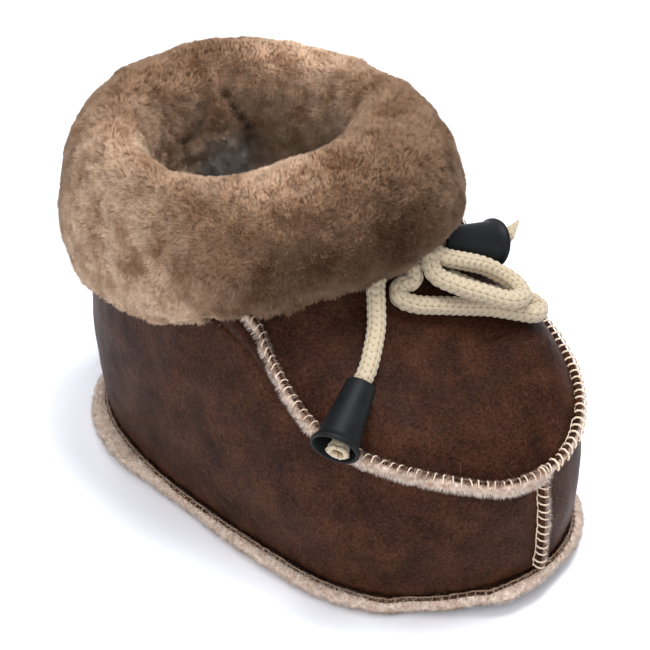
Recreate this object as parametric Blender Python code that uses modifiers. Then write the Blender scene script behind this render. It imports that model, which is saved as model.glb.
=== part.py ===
"""A baby's sheepskin slipper: sole, upper, insole, wool cuff, and a tied cord with bell-shaped ends.

The toe points to -Y and the heel to +Y, the shoe stands on Z = 0, and the origin is under the middle of its
box. Sizes are in millimetres, and the meshes are scaled to metres as they are made. "Along" is the distance
back from the toe edge of the sole. The last is straight: both sides of the shoe are alike.
"""
import math
from collections import namedtuple

import bmesh
import bpy
from mathutils import Vector

MM = 0.001

# ---- driving sizes of the last, in millimetres ----
SOLE_LENGTH = 138.0
BALL_WIDTH = 80.6          # across the sole's edge at its widest
BALL_AT = 48.0             # how far back the widest place lies
FLANGE = 3.4               # how far the sewn edge stands out from the wall
SOLE_THICK = 5.0
WALL = 4.5                 # leather and the pressed wool behind it
INSOLE_THICK = 4.0
GAP = 0.3                  # between pieces that touch
TOE_SPRING = 4.0           # lift of the sole at the toe edge
TOE_SPRING_FROM = 24.0     # along
HEEL_SPRING = 1.0
HEEL_SPRING_FROM = 124.0   # along
TOE_HEIGHT = 36.0          # top of the toe wall, where the vamp is sewn on
TOTAL_LENGTH = 147.5       # from the toe edge to the back of the cuff

COLUMNS = 60               # of each ring round the shoe

# An outline seen from above: a round toe and a round heel that meet at the widest place. A power of 2 is an
# ellipse, and a higher one is squarer.
Outline = namedtuple("Outline", "toe heel widest half toe_power heel_power")
SOLE_EDGE = Outline(0.0, SOLE_LENGTH, BALL_AT, BALL_WIDTH / 2, 2.0, 2.8)
SEAM_LINE = Outline(3.0, 135.0, 50.0, 35.5, 2.2, 3.2)
RIM_LINE = Outline(57.0, 133.5, 95.0, 31.5, 2.0, 2.0)
CUFF_LINE = Outline(42.0, TOTAL_LENGTH, 95.0, 44.0, 2.0, 2.0)
THROAT_LINE = Outline(75.0, 119.0, 97.0, 23.5, 2.0, 2.0)

# Heights at places along the shoe.
HeightRow = namedtuple("HeightRow", "along height")

# The seam line between side band and vamp, and the same line on round the heel.
SEAM_HEIGHTS = (
    HeightRow(3.0, TOE_HEIGHT),
    HeightRow(12.0, 40.0),
    HeightRow(25.0, 43.0),
    HeightRow(46.0, 48.5),
    HeightRow(56.0, 54.0),
    HeightRow(66.0, 60.0),
    HeightRow(80.0, 63.0),
    HeightRow(135.0, 63.0),
)
RIM_HEIGHTS = (HeightRow(57.0, 88.0), HeightRow(95.0, 81.0), HeightRow(133.5, 78.0))
CUFF_TOPS = (HeightRow(42.0, 100.0), HeightRow(95.0, 92.0), HeightRow(147.5, 90.0))
CUFF_EDGES = (
    HeightRow(42.0, 76.0),
    HeightRow(54.0, 75.0),
    HeightRow(66.0, 67.0),
    HeightRow(90.0, 57.0),
    HeightRow(147.5, 46.0),
)

# How far the side band swells outwards between sole and seam.
BulgeRow = namedtuple("BulgeRow", "along bulge")
BAND_BULGES = (BulgeRow(3.0, 1.0), BulgeRow(30.0, 2.2), BulgeRow(60.0, 3.0), BulgeRow(135.0, 2.6))

# How the vamp swells from its seam and runs up to the ankle, as parts of its run and of its rise.
VAMP_LEAN = 0.17
VAMP_CROWN = 0.40
THROAT_LEAN = 0.05
THROAT_DROP = 0.68
BACK_CROWN = 0.33
VAMP_FULL = 20.0           # along the seam line: the vamp is in front of this
VAMP_ENDS = 110.0          # and behind this the wall only narrows to the ankle
SIDE_SHIFT = 0.33          # radians that the seam line's side points lie behind the ankle's
BAND_ROWS = 6
VAMP_ROWS = 12


# ---- curves ----
def smooth_step(value, start, end):
    part = min(1.0, max(0.0, (value - start) / (end - start)))
    return part * part * (3.0 - 2.0 * part)


def table_value(rows, along):
    """The second column of a table at a place along the shoe, on a smooth curve with no overshoot."""
    if along <= rows[0][0]:
        return rows[0][1]
    if along >= rows[-1][0]:
        return rows[-1][1]
    slopes = [(b[1] - a[1]) / (b[0] - a[0]) for a, b in zip(rows, rows[1:])]
    tangents = [slopes[0]]
    for before, after in zip(slopes, slopes[1:]):
        tangents.append(2 * before * after / (before + after) if before * after > 0 else 0.0)
    tangents.append(slopes[-1])
    here = next(i for i, row in enumerate(rows[1:]) if along <= row[0])
    left, right = rows[here], rows[here + 1]
    span = right[0] - left[0]
    t = (along - left[0]) / span
    return (
        (1 + 2 * t) * (1 - t) ** 2 * left[1]
        + t * (1 - t) ** 2 * span * tangents[here]
        + t * t * (3 - 2 * t) * right[1]
        + t * t * (t - 1) * span * tangents[here + 1]
    )


def grown(outline, by):
    """The same outline with its edge moved outwards."""
    return outline._replace(toe=outline.toe - by, heel=outline.heel + by, half=outline.half + by)


def plan_point(outline, angle):
    """(across, along) on an outline: angle 0 at the toe, pi at the heel, +X between them."""
    c, s = math.cos(angle), math.sin(angle)
    if c >= 0:
        power, reach = outline.toe_power, outline.widest - outline.toe
    else:
        power, reach = outline.heel_power, outline.heel - outline.widest
    spoke = (abs(s) ** power + abs(c) ** power) ** (-1 / power)
    return outline.half * s * spoke, outline.widest - reach * c * spoke


def angles():
    return [2 * math.pi * i / COLUMNS for i in range(COLUMNS)]


def sole_lift(along):
    """How far the sole's underside is off the floor."""
    toe = max(0.0, (TOE_SPRING_FROM - along) / TOE_SPRING_FROM)
    heel = max(0.0, (along - HEEL_SPRING_FROM) / (SOLE_LENGTH - HEEL_SPRING_FROM))
    return TOE_SPRING * toe * toe + HEEL_SPRING * heel * heel


def place(across, along, height):
    """A point of the shoe in metres."""
    return Vector((across * MM, (along - TOTAL_LENGTH / 2) * MM, height * MM))


# ---- meshes ----
def bands(mesh, rings):
    """Quads between rings of the same number of points, each ring going round seen from above."""
    rows = [[mesh.verts.new(point) for point in ring] for ring in rings]
    for low, high in zip(rows, rows[1:]):
        for i in range(len(low)):
            j = (i + 1) % len(low)
            mesh.faces.new((low[i], low[j], high[j], high[i]))
    return rows


def close_across(mesh, ring):
    """Close a ring with strips from its left side to its right, each strip level across the shoe."""
    half = len(ring) // 2
    mesh.faces.new((ring[0], ring[1], ring[-1]))
    for i in range(1, half - 1):
        mesh.faces.new((ring[i], ring[i + 1], ring[-i - 1], ring[-i]))
    mesh.faces.new((ring[half - 1], ring[half], ring[half + 1]))


def finish(name, mesh, material, collection):
    bmesh.ops.recalc_face_normals(mesh, faces=mesh.faces)
    data = bpy.data.meshes.new(name)
    mesh.to_mesh(data)
    mesh.free()
    data.shade_smooth()
    data.set_sharp_from_angle(angle=math.radians(40))
    data.materials.append(material)
    made = bpy.data.objects.new(name, data)
    collection.objects.link(made)
    return made


def principled(name, colour, roughness, metallic=0.0):
    material = bpy.data.materials.new(name)
    material.use_nodes = True
    shader = material.node_tree.nodes["Principled BSDF"]
    shader.inputs["Base Color"].default_value = (*colour, 1.0)
    shader.inputs["Roughness"].default_value = roughness
    shader.inputs["Metallic"].default_value = metallic
    return material


# ---- sole and insole ----
SOLE_SOFTNESS = 2.0        # how far in the sole's rounded edge begins
INSOLE_SOFTNESS = 1.2


def padded_plate(outline, base, thick, softness):
    """Rings of a flat pad with a rounded edge: (grown by, height over the base)."""
    profile = (
        (-softness, 0.0),
        (-0.3 * softness, 0.12 * thick),
        (0.0, 0.5 * thick),
        (-0.3 * softness, 0.88 * thick),
        (-softness, thick),
    )
    rings = []
    for by, height in profile:
        ring = []
        for angle in angles():
            across, along = plan_point(grown(outline, by), angle)
            ring.append(place(across, along, base + height + sole_lift(along)))
        rings.append(ring)
    return rings


def build_plate(name, outline, base, thick, softness, material, collection):
    mesh = bmesh.new()
    rows = bands(mesh, padded_plate(outline, base, thick, softness))
    close_across(mesh, rows[0])
    close_across(mesh, rows[-1])
    return finish(name, mesh, material, collection)


# ---- upper ----
def wall_line():
    """The outline of the upper where it stands on the sole."""
    return grown(SOLE_EDGE, -FLANGE)


def shifted(angle):
    """The place on the foot outlines that lies below this place on the ankle."""
    return angle + SIDE_SHIFT * math.sin(angle)


def seam_point(angle):
    across, along = plan_point(SEAM_LINE, shifted(angle))
    return Vector((across, along, table_value(SEAM_HEIGHTS, along)))


def band_point(angle, part):
    """The outside of the side band: part 0 on the sole, 1 at the seam line."""
    across, along = plan_point(wall_line(), shifted(angle))
    foot = Vector((across, along, SOLE_THICK + GAP + sole_lift(along)))
    bulge = table_value(BAND_BULGES, along) * math.sin(math.pi * part)
    outward = Vector((math.sin(shifted(angle)), -math.cos(shifted(angle)), 0.0))
    return foot.lerp(seam_point(angle), part) + bulge * outward


def vamp_share(angle):
    """1 where the wall above the seam line is the vamp, 0 where it is the ankle."""
    return 1.0 - smooth_step(seam_point(angle).y, VAMP_FULL, VAMP_ENDS)


def top_point(angle, part):
    """The outside above the seam line: part 0 at the seam, 1 at the ankle's top edge."""
    seam = seam_point(angle)
    across, along = plan_point(RIM_LINE, angle)
    rim = Vector((across, along, table_value(RIM_HEIGHTS, along)))
    vamp = vamp_share(angle)
    run = Vector((rim.x - seam.x, rim.y - seam.y, 0.0))
    rise = Vector((0.0, 0.0, rim.z - seam.z))
    low = seam + VAMP_LEAN * vamp * run + (BACK_CROWN + (VAMP_CROWN - BACK_CROWN) * vamp) * rise
    high = rim - THROAT_LEAN * vamp * run - (BACK_CROWN + (THROAT_DROP - BACK_CROWN) * vamp) * rise
    rest = 1.0 - part
    return rest**3 * seam + 3 * rest**2 * part * low + 3 * rest * part**2 * high + part**3 * rim


def skin_at(angle, height):
    """The upper's outside on one column at a height."""
    low, high = 0.0, 2.0
    for _ in range(40):
        part = (low + high) / 2
        point = band_point(angle, part) if part < 1 else top_point(angle, part - 1)
        if point.z < height:
            low = part
        else:
            high = part
    return point


def build_upper(material, collection):
    rings = []
    for row in range(BAND_ROWS):
        rings.append([place(*band_point(angle, row / BAND_ROWS)) for angle in angles()])
    for row in range(VAMP_ROWS + 1):
        rings.append([place(*top_point(angle, row / VAMP_ROWS)) for angle in angles()])
    mesh = bmesh.new()
    bands(mesh, rings)
    upper = finish("upper", mesh, material, collection)
    wall = upper.modifiers.new("wall", "SOLIDIFY")
    wall.thickness = WALL * MM
    wall.offset = -1.0
    return upper


# ---- wool cuff ----
CUFF_STEPS = 4             # up the cuff's hidden face
CUFF_LEG = 16.0            # how far down the cuff's inner leg hangs from the upper's top edge

RIM_GAP = 1.2              # between the cuff and the upper's top edge

# The cuff's hidden face stands this far off the upper, more over the corners where vamp meets side.
GapRow = namedtuple("GapRow", "along gap")
HIDDEN_GAPS = (GapRow(55.0, 1.3), GapRow(68.0, 3.2), GapRow(88.0, 1.3))

# The cuff's outer face from its inner leg over the top to its lower edge: how far across from the throat
# (0) to the outside (1), and how far up from the lower edge (0) to the top (1).
CuffRow = namedtuple("CuffRow", "across up")
CUFF_FACE = (
    CuffRow(0.00, 0.50),
    CuffRow(0.06, 0.76),
    CuffRow(0.20, 0.94),
    CuffRow(0.42, 1.00),
    CuffRow(0.66, 0.94),
    CuffRow(0.87, 0.76),
    CuffRow(1.00, 0.46),
    CuffRow(0.96, 0.20),
    CuffRow(0.82, 0.04),
)


def outward(outline, angle):
    """The level direction that faces out of an ellipse."""
    across, along = plan_point(outline, angle)
    reach = outline.widest - outline.toe
    return Vector((across / outline.half**2, (along - outline.widest) / reach**2, 0.0)).normalized()


def off_skin(angle, height):
    """A point of the cuff's hidden face, just off the upper."""
    skin = skin_at(angle, height)
    return skin + table_value(HIDDEN_GAPS, skin.y) * outward(RIM_LINE, angle)


def cuff_section(angle):
    """One turn round the cuff's cane-shaped section, from its lower edge up its hidden face."""
    along = plan_point(CUFF_LINE, angle)[1]
    edge, top = table_value(CUFF_EDGES, along), table_value(CUFF_TOPS, along)
    rim = table_value(RIM_HEIGHTS, plan_point(RIM_LINE, angle)[1])
    foot = max(edge, table_value(CUFF_EDGES, skin_at(angle, edge).y)) + 1.0
    head = rim - RIM_GAP
    points = [off_skin(angle, foot + (head - foot) * step / CUFF_STEPS) for step in range(CUFF_STEPS + 1)]
    inside = -WALL - RIM_GAP
    for by, height in ((RIM_GAP, rim + RIM_GAP), (inside, rim + RIM_GAP), (inside, rim - CUFF_LEG)):
        points.append(Vector((*plan_point(grown(RIM_LINE, by), angle), height)))
    inner = Vector((*plan_point(THROAT_LINE, angle), 0.0))
    outer = Vector((*plan_point(CUFF_LINE, angle), 0.0))
    points.append(inner.lerp(outer, 0.04) + Vector((0.0, 0.0, rim - CUFF_LEG + 1.0)))
    for row in CUFF_FACE:
        points.append(inner.lerp(outer, row.across) + Vector((0.0, 0.0, edge + row.up * (top - edge))))
    return [place(*point) for point in points]


def build_collar(material, collection):
    mesh = bmesh.new()
    sections = [cuff_section(angle) for angle in angles()]
    bands(mesh, sections + [sections[0]])
    bmesh.ops.remove_doubles(mesh, verts=mesh.verts, dist=0.01 * MM)
    return finish("collar", mesh, material, collection)


# ---- bow ----
CORD_THICK = 4.6
CORD_STEP = 4.0            # between the rings of a cord
CORD_ROUNDNESS = 3         # the curve's bevel resolution
CURVE_STEPS = 16           # read between two stops before the cord's points are spaced evenly
KNOT_STEPS = 16

# Where each run of cord goes, outwards from the knot.
Stop = namedtuple("Stop", "across along height")
KNOT = Stop(5.5, 46.8, 71.7)
KNOT_HALF = Stop(4.0, 3.6, 3.5)
LOOP_A = (
    Stop(4.6, 41.7, 71.7),
    Stop(7.0, 37.2, 68.4),
    Stop(11.2, 32.8, 65.8),
    Stop(16.4, 28.9, 63.4),
    Stop(21.5, 29.4, 62.8),
    Stop(23.0, 32.9, 63.7),
    Stop(21.8, 36.8, 65.3),
    Stop(18.0, 39.7, 68.4),
    Stop(9.5, 43.0, 73.2),
)
LOOP_B = (
    Stop(1.1, 45.4, 69.8),
    Stop(-2.4, 46.2, 69.4),
    Stop(-4.2, 44.5, 67.8),
    Stop(-1.2, 41.9, 65.7),
    Stop(4.2, 39.5, 63.8),
    Stop(10.2, 36.8, 61.8),
    Stop(16.0, 34.0, 59.9),
    Stop(21.4, 30.6, 57.6),
    Stop(25.4, 28.8, 55.8),
    Stop(28.8, 30.4, 54.9),
    Stop(27.4, 34.3, 57.0),
    Stop(22.4, 38.6, 60.7),
    Stop(16.8, 41.5, 63.7),
    Stop(9.8, 43.6, 67.5),
)
END_RIGHT = (
    Stop(1.4, 49.2, 73.7),
    Stop(-3.6, 50.2, 73.6),
    Stop(-7.8, 48.8, 72.0),
    Stop(-10.9, 45.8, 69.0),
    Stop(-13.9, 42.8, 65.8),
    Stop(-18.1, 39.8, 63.2),
    Stop(-22.4, 37.2, 61.0),
    Stop(-26.6, 35.4, 59.1),
    Stop(-42.1, 29.1, 52.0),
)
END_LEFT = (
    Stop(10.1, 48.8, 73.2),
    Stop(13.6, 49.2, 72.5),
    Stop(29.9, 46.2, 65.1),
    Stop(34.4, 46.4, 63.7),
    Stop(38.6, 48.2, 63.7),
)

# The bell-shaped cord ends, each along a straight stretch of its cord, narrow end first.
Stretch = namedtuple("Stretch", "start stop")
BELL_RIGHT = Stretch(Stop(-26.6, 35.4, 59.1), Stop(-42.1, 29.1, 52.0))
BELL_LEFT = Stretch(Stop(13.6, 49.2, 72.5), Stop(29.9, 46.2, 65.1))
BELL_STEPS = 20

# A bell's section down its outside and back up its bore.
BellRow = namedtuple("BellRow", "radius down")
BELL_SECTION = (
    BellRow(3.3, 0.0),
    BellRow(3.5, 2.5),
    BellRow(4.4, 9.0),
    BellRow(5.5, 16.0),
    BellRow(6.1, 16.8),
    BellRow(6.1, 18.0),
    BellRow(5.2, 18.0),
    BellRow(4.6, 14.0),
    BellRow(3.4, 7.0),
    BellRow(2.65, 3.0),
    BellRow(2.65, 0.0),
)


def smooth_route(stops):
    """Points evenly spaced on a smooth curve through the stops."""
    knots = [place(*stop) for stop in stops]
    knots = [2 * knots[0] - knots[1]] + knots + [2 * knots[-1] - knots[-2]]
    fine = []
    for a, b, c, d in zip(knots, knots[1:], knots[2:], knots[3:]):
        for step in range(CURVE_STEPS):
            t = step / CURVE_STEPS
            fine.append(b + 0.5 * t * (c - a + t * (2 * a - 5 * b + 4 * c - d + t * (3 * (b - c) + d - a))))
    fine.append(knots[-2])
    runs = [0.0]
    for a, b in zip(fine, fine[1:]):
        runs.append(runs[-1] + (b - a).length)
    count = max(4, round(runs[-1] / (CORD_STEP * MM)))
    points = []
    for step in range(count + 1):
        want = runs[-1] * step / count
        here = min(len(fine) - 2, sum(run <= want for run in runs) - 1)
        part = (want - runs[here]) / (runs[here + 1] - runs[here])
        points.append(fine[here].lerp(fine[here + 1], part))
    return points


def build_cord(name, stops, material, collection):
    curve = bpy.data.curves.new(name, "CURVE")
    curve.dimensions = "3D"
    curve.bevel_depth = CORD_THICK / 2 * MM
    curve.bevel_resolution = CORD_ROUNDNESS
    curve.use_fill_caps = True
    points = smooth_route(stops)
    spline = curve.splines.new("POLY")
    spline.points.add(len(points) - 1)
    for slot, point in zip(spline.points, points):
        slot.co = (*point, 1.0)
    curve.materials.append(material)
    cord = bpy.data.objects.new(name, curve)
    collection.objects.link(cord)


def build_knot(material, collection):
    mesh = bmesh.new()
    bmesh.ops.create_uvsphere(mesh, u_segments=KNOT_STEPS, v_segments=KNOT_STEPS // 2, radius=1.0)
    for vert in mesh.verts:
        x, y, z = vert.co
        vert.co = place(KNOT.across + x * KNOT_HALF.across, KNOT.along + y * KNOT_HALF.along,
                        KNOT.height + z * KNOT_HALF.height)
    finish("lace_knot", mesh, material, collection)


def build_bell(name, stretch, material, collection):
    mesh = bpy.data.meshes.new(name)
    section = [(row.radius * MM, 0.0, -row.down * MM) for row in BELL_SECTION]
    mesh.from_pydata(section, [(i, (i + 1) % len(section)) for i in range(len(section))], [])
    mesh.materials.append(material)
    bell = bpy.data.objects.new(name, mesh)
    start, stop = place(*stretch.start), place(*stretch.stop)
    bell.location = start
    bell.rotation_mode = "QUATERNION"
    bell.rotation_quaternion = (start - stop).to_track_quat("Z", "Y")
    collection.objects.link(bell)
    turn = bell.modifiers.new("turn", "SCREW")
    turn.axis = "Z"
    turn.steps = turn.render_steps = BELL_STEPS
    turn.use_merge_vertices = True
    turn.merge_threshold = 0.00001
    turn.use_smooth_shade = True


def clear_scene():
    for thing in list(bpy.data.objects):
        bpy.data.objects.remove(thing, do_unlink=True)


def main():
    clear_scene()
    slipper = bpy.data.collections.new("baby_slipper")
    bpy.context.scene.collection.children.link(slipper)
    leather = principled("brown_leather", (0.055, 0.022, 0.014), 0.55)
    wool = principled("pale_wool", (0.42, 0.36, 0.29), 0.95)
    build_plate("sole", SOLE_EDGE, 0.0, SOLE_THICK, SOLE_SOFTNESS, wool, slipper)
    inside = grown(wall_line(), -WALL - 2 * GAP)
    build_plate("insole", inside, SOLE_THICK + GAP, INSOLE_THICK, INSOLE_SOFTNESS, wool, slipper)
    build_upper(leather, slipper)
    build_collar(principled("tan_wool", (0.30, 0.19, 0.13), 0.95), slipper)
    cord = principled("cream_cord", (0.78, 0.68, 0.48), 0.85)
    build_knot(cord, slipper)
    build_cord("lace_loop_a", LOOP_A, cord, slipper)
    build_cord("lace_loop_b", LOOP_B, cord, slipper)
    build_cord("lace_end_right", END_RIGHT, cord, slipper)
    build_cord("lace_end_left", END_LEFT, cord, slipper)
    black = principled("black_plastic", (0.018, 0.020, 0.022), 0.4)
    build_bell("cord_end_right", BELL_RIGHT, black, slipper)
    build_bell("cord_end_left", BELL_LEFT, black, slipper)


main()
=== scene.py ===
"""A baby's brown sheepskin slipper: moccasin upper, turned-down wool cuff and a tied knitted cord.

The toe points to -Y, the heel to +Y, and the slipper stands on Z = 0. Sizes are in millimetres and are scaled
to metres as meshes are made. "Along" is the distance back from the sole's toe edge. +X is the slipper's left.
"""
import itertools
import math
from collections import namedtuple

import bmesh
import bpy
import numpy as np
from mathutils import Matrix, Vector, noise
from mathutils.bvhtree import BVHTree
from mathutils.kdtree import KDTree


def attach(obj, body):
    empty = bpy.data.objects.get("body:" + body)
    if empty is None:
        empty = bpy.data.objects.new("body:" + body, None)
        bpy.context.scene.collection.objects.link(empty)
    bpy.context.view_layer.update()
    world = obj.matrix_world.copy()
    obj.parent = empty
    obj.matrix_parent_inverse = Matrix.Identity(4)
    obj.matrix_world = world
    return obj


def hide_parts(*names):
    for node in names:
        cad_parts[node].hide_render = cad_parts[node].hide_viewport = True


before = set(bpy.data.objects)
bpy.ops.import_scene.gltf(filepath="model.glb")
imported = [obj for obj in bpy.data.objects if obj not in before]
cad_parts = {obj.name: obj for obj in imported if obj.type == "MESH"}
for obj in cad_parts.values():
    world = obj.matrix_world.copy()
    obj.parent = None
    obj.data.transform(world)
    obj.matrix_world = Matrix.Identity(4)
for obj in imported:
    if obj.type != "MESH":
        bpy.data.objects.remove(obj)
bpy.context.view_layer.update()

MM = 0.001


def table(kind, *rows):
    """Rows of one kind, so that each column has its name."""
    return tuple(kind(*row) for row in rows)


# ---- sizes of the last ----
SOLE_LENGTH = 138.0
BALL_WIDTH = 80.6
FLANGE = 3.4               # how far the sewn edge stands out from the wall
SOLE_THICK = 5.0
WALL = 4.5                 # leather and wool
LEATHER = 1.3              # of the wall
GAP = 0.3
CUFF_LEG = 20.5            # how far the cuff's inner leg hangs down inside the ankle
TOE_SPRING = 4.0
TOE_SPRING_FROM = 24.0
HEEL_SPRING = 1.0
HEEL_SPRING_FROM = 124.0
TOTAL_LENGTH = 147.5

Outline = namedtuple("Outline", "toe heel widest half toe_power heel_power")
SOLE_EDGE = Outline(0.0, SOLE_LENGTH, 48.0, BALL_WIDTH / 2, 2.0, 2.8)
SEAM_LINE = Outline(3.0, 135.0, 50.0, 35.5, 2.2, 3.2)
RIM_LINE = Outline(57.0, 133.5, 95.0, 31.5, 2.0, 2.0)
CUFF_LINE = Outline(42.0, TOTAL_LENGTH, 95.0, 44.0, 2.0, 2.0)
THROAT_LINE = Outline(75.0, 119.0, 97.0, 23.5, 2.0, 2.0)

HeightRow = namedtuple("HeightRow", "along height")
SEAM_HEIGHTS = table(
    HeightRow,
    (3.0, 36.0), (12.0, 40.0), (25.0, 43.0), (46.0, 48.5), (56.0, 54.0), (66.0, 60.0), (80.0, 63.0),
    (135.0, 63.0),
)
RIM_HEIGHTS = table(HeightRow, (57.0, 88.0), (95.0, 81.0), (133.5, 78.0))
CUFF_TOPS = table(HeightRow, (42.0, 100.0), (95.0, 92.0), (147.5, 90.0))
CUFF_EDGES = table(HeightRow, (42.0, 76.0), (54.0, 75.0), (66.0, 67.0), (90.0, 57.0), (147.5, 46.0))
BulgeRow = namedtuple("BulgeRow", "along bulge")
BAND_BULGES = table(BulgeRow, (3.0, 1.0), (30.0, 2.2), (60.0, 3.0), (135.0, 2.6))

VAMP_LEAN = 0.17
VAMP_CROWN = 0.40
THROAT_LEAN = 0.05
THROAT_DROP = 0.68
BACK_CROWN = 0.33
VAMP_FULL = 20.0
VAMP_ENDS = 110.0
SIDE_SHIFT = 0.33

UP = Vector((0.0, 0.0, 1.0))


# ---- the last's curves ----
def smooth_step(value, start, end):
    """0 up to the start, 1 from the end on, and smooth between."""
    part = min(1.0, max(0.0, (value - start) / (end - start)))
    return part * part * (3.0 - 2.0 * part)


def table_value(rows, along):
    """The second column of a table at a place along the slipper, on a smooth curve with no overshoot."""
    if along <= rows[0][0]:
        return rows[0][1]
    if along >= rows[-1][0]:
        return rows[-1][1]
    slopes = [(b[1] - a[1]) / (b[0] - a[0]) for a, b in zip(rows, rows[1:])]
    tangents = [slopes[0]]
    for before, after in zip(slopes, slopes[1:]):
        tangents.append(2 * before * after / (before + after) if before * after > 0 else 0.0)
    tangents.append(slopes[-1])
    here = next(i for i, row in enumerate(rows[1:]) if along <= row[0])
    left, right = rows[here], rows[here + 1]
    span = right[0] - left[0]
    t = (along - left[0]) / span
    return (
        (1 + 2 * t) * (1 - t) ** 2 * left[1]
        + t * (1 - t) ** 2 * span * tangents[here]
        + t * t * (3 - 2 * t) * right[1]
        + t * t * (t - 1) * span * tangents[here + 1]
    )


def grown(outline, by):
    """The outline, larger all round."""
    return outline._replace(toe=outline.toe - by, heel=outline.heel + by, half=outline.half + by)


def plan_point(outline, angle):
    """(across, along) on an outline: angle 0 at the toe, pi at the heel, +X between them."""
    c, s = math.cos(angle), math.sin(angle)
    if c >= 0:
        power, reach = outline.toe_power, outline.widest - outline.toe
    else:
        power, reach = outline.heel_power, outline.heel - outline.widest
    spoke = (abs(s) ** power + abs(c) ** power) ** (-1 / power)
    return outline.half * s * spoke, outline.widest - reach * c * spoke


def sole_lift(along):
    """The toe's and the heel's spring."""
    toe = max(0.0, (TOE_SPRING_FROM - along) / TOE_SPRING_FROM)
    heel = max(0.0, (along - HEEL_SPRING_FROM) / (SOLE_LENGTH - HEEL_SPRING_FROM))
    return TOE_SPRING * toe * toe + HEEL_SPRING * heel * heel


def wall_line():
    """The foot of the side band, inside the sole's sewn edge."""
    return grown(SOLE_EDGE, -FLANGE)


def shifted(angle):
    """The seam line's angle for one of the ankle's: its side points lie further back."""
    return angle + SIDE_SHIFT * math.sin(angle)


def seam_point(angle):
    """A point of the line where side band and vamp meet."""
    across, along = plan_point(SEAM_LINE, shifted(angle))
    return Vector((across, along, table_value(SEAM_HEIGHTS, along)))


def band_point(angle, part):
    """The outside of the side band: part 0 on the sole, 1 at the seam line."""
    across, along = plan_point(wall_line(), shifted(angle))
    foot = Vector((across, along, SOLE_THICK + GAP + sole_lift(along)))
    bulge = table_value(BAND_BULGES, along) * math.sin(math.pi * part)
    outward = Vector((math.sin(shifted(angle)), -math.cos(shifted(angle)), 0.0))
    return foot.lerp(seam_point(angle), part) + bulge * outward


def top_point(angle, part):
    """The outside above the seam line: part 0 at the seam, 1 at the ankle's top edge."""
    seam = seam_point(angle)
    across, along = plan_point(RIM_LINE, angle)
    rim = Vector((across, along, table_value(RIM_HEIGHTS, along)))
    vamp = 1.0 - smooth_step(seam.y, VAMP_FULL, VAMP_ENDS)
    run = Vector((rim.x - seam.x, rim.y - seam.y, 0.0))
    rise = Vector((0.0, 0.0, rim.z - seam.z))
    low = seam + VAMP_LEAN * vamp * run + (BACK_CROWN + (VAMP_CROWN - BACK_CROWN) * vamp) * rise
    high = rim - THROAT_LEAN * vamp * run - (BACK_CROWN + (THROAT_DROP - BACK_CROWN) * vamp) * rise
    rest = 1.0 - part
    return rest**3 * seam + 3 * rest**2 * part * low + 3 * rest * part**2 * high + part**3 * rim


def side_normal(surface, angle, part):
    """The outward normal of band_point or top_point."""
    step = 0.01
    low, high = (part, part + step) if part < 0.5 else (part - step, part)
    round_it = surface(angle + step, part) - surface(angle - step, part)
    up_it = surface(angle, high) - surface(angle, low)
    return round_it.cross(up_it).normalized()


# ---- making things ----
def place(point):
    """A point of the slipper in metres."""
    return Vector((point[0] * MM, (point[1] - TOTAL_LENGTH / 2) * MM, point[2] * MM))


def slipper_point(spot):
    """A place in metres as a point of the slipper."""
    return Vector(spot) / MM + Vector((0.0, TOTAL_LENGTH / 2, 0.0))


def waves(point, rows, start=0.0):
    """Soft unevenness: the sum of noises, each with its size and height."""
    return sum((row.height * noise.noise(point / row.size) for row in rows), start)


def linear(hex_colour):
    """An sRGB hex colour as the linear colour that a shader takes."""
    parts = [int(hex_colour[i : i + 2], 16) / 255 for i in (1, 3, 5)]
    return (*[c / 12.92 if c <= 0.04045 else ((c + 0.055) / 1.055) ** 2.4 for c in parts], 1.0)


def give(node, inputs):
    """Sets each input to a value, or links it from a socket."""
    for name, value in inputs.items():
        if isinstance(value, bpy.types.NodeSocket):
            node.id_data.links.new(value, node.inputs[name])
        else:
            node.inputs[name].default_value = value


def add(tree, kind, inputs, out=0, **settings):
    """Adds a node with its settings and inputs, and hands back one of its outputs."""
    node = tree.nodes.new(kind)
    for name, value in settings.items():
        setattr(node, name, value)
    give(node, inputs)
    return node.outputs[out] if node.outputs else None


def in_scene(name, data):
    """A new object of this data."""
    made = bpy.data.objects.new(name, data)
    bpy.context.scene.collection.objects.link(made)
    return made


def mesh_of(name, points, faces):
    """A smooth mesh object of points in metres."""
    data = bpy.data.meshes.new(name)
    data.from_pydata(points, [], faces)
    data.shade_smooth()
    return in_scene(name, data)


def mesh_object(name, points, faces, material):
    """An object of points in slipper millimetres, with its place in its mesh."""
    made = mesh_of(name, [place(p) for p in points], faces)
    made.data.materials.append(material)
    return made


def facing_out(thing):
    """Turns a closed mesh's faces outwards."""
    shape = bmesh.new()
    shape.from_mesh(thing.data)
    if shape.calc_volume(signed=True) < 0:
        bmesh.ops.reverse_faces(shape, faces=shape.faces)
        shape.to_mesh(thing.data)
    shape.free()
    return thing


def grid_faces(rows, columns, round_rows=False):
    """Quads of a grid of points numbered row by row, with its columns closed into rings."""
    faces = []
    for r in range(rows if round_rows else rows - 1):
        s = (r + 1) % rows
        for c in range(columns):
            d = (c + 1) % columns
            faces.append((r * columns + c, r * columns + d, s * columns + d, s * columns + c))
    return faces


def set_values(thing, name, values):
    """Stores one number a vertex, for its material to read."""
    layer = thing.data.attributes.new(name, "FLOAT", "POINT")
    layer.data.foreach_set("value", np.asarray(values, dtype=np.float32))


def join(name, things):
    """Several mesh objects as one."""
    bpy.ops.object.select_all(action="DESELECT")
    for thing in things:
        thing.select_set(True)
    bpy.context.view_layer.objects.active = things[0]
    bpy.ops.object.join()
    things[0].name = things[0].data.name = name
    return things[0]


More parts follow.
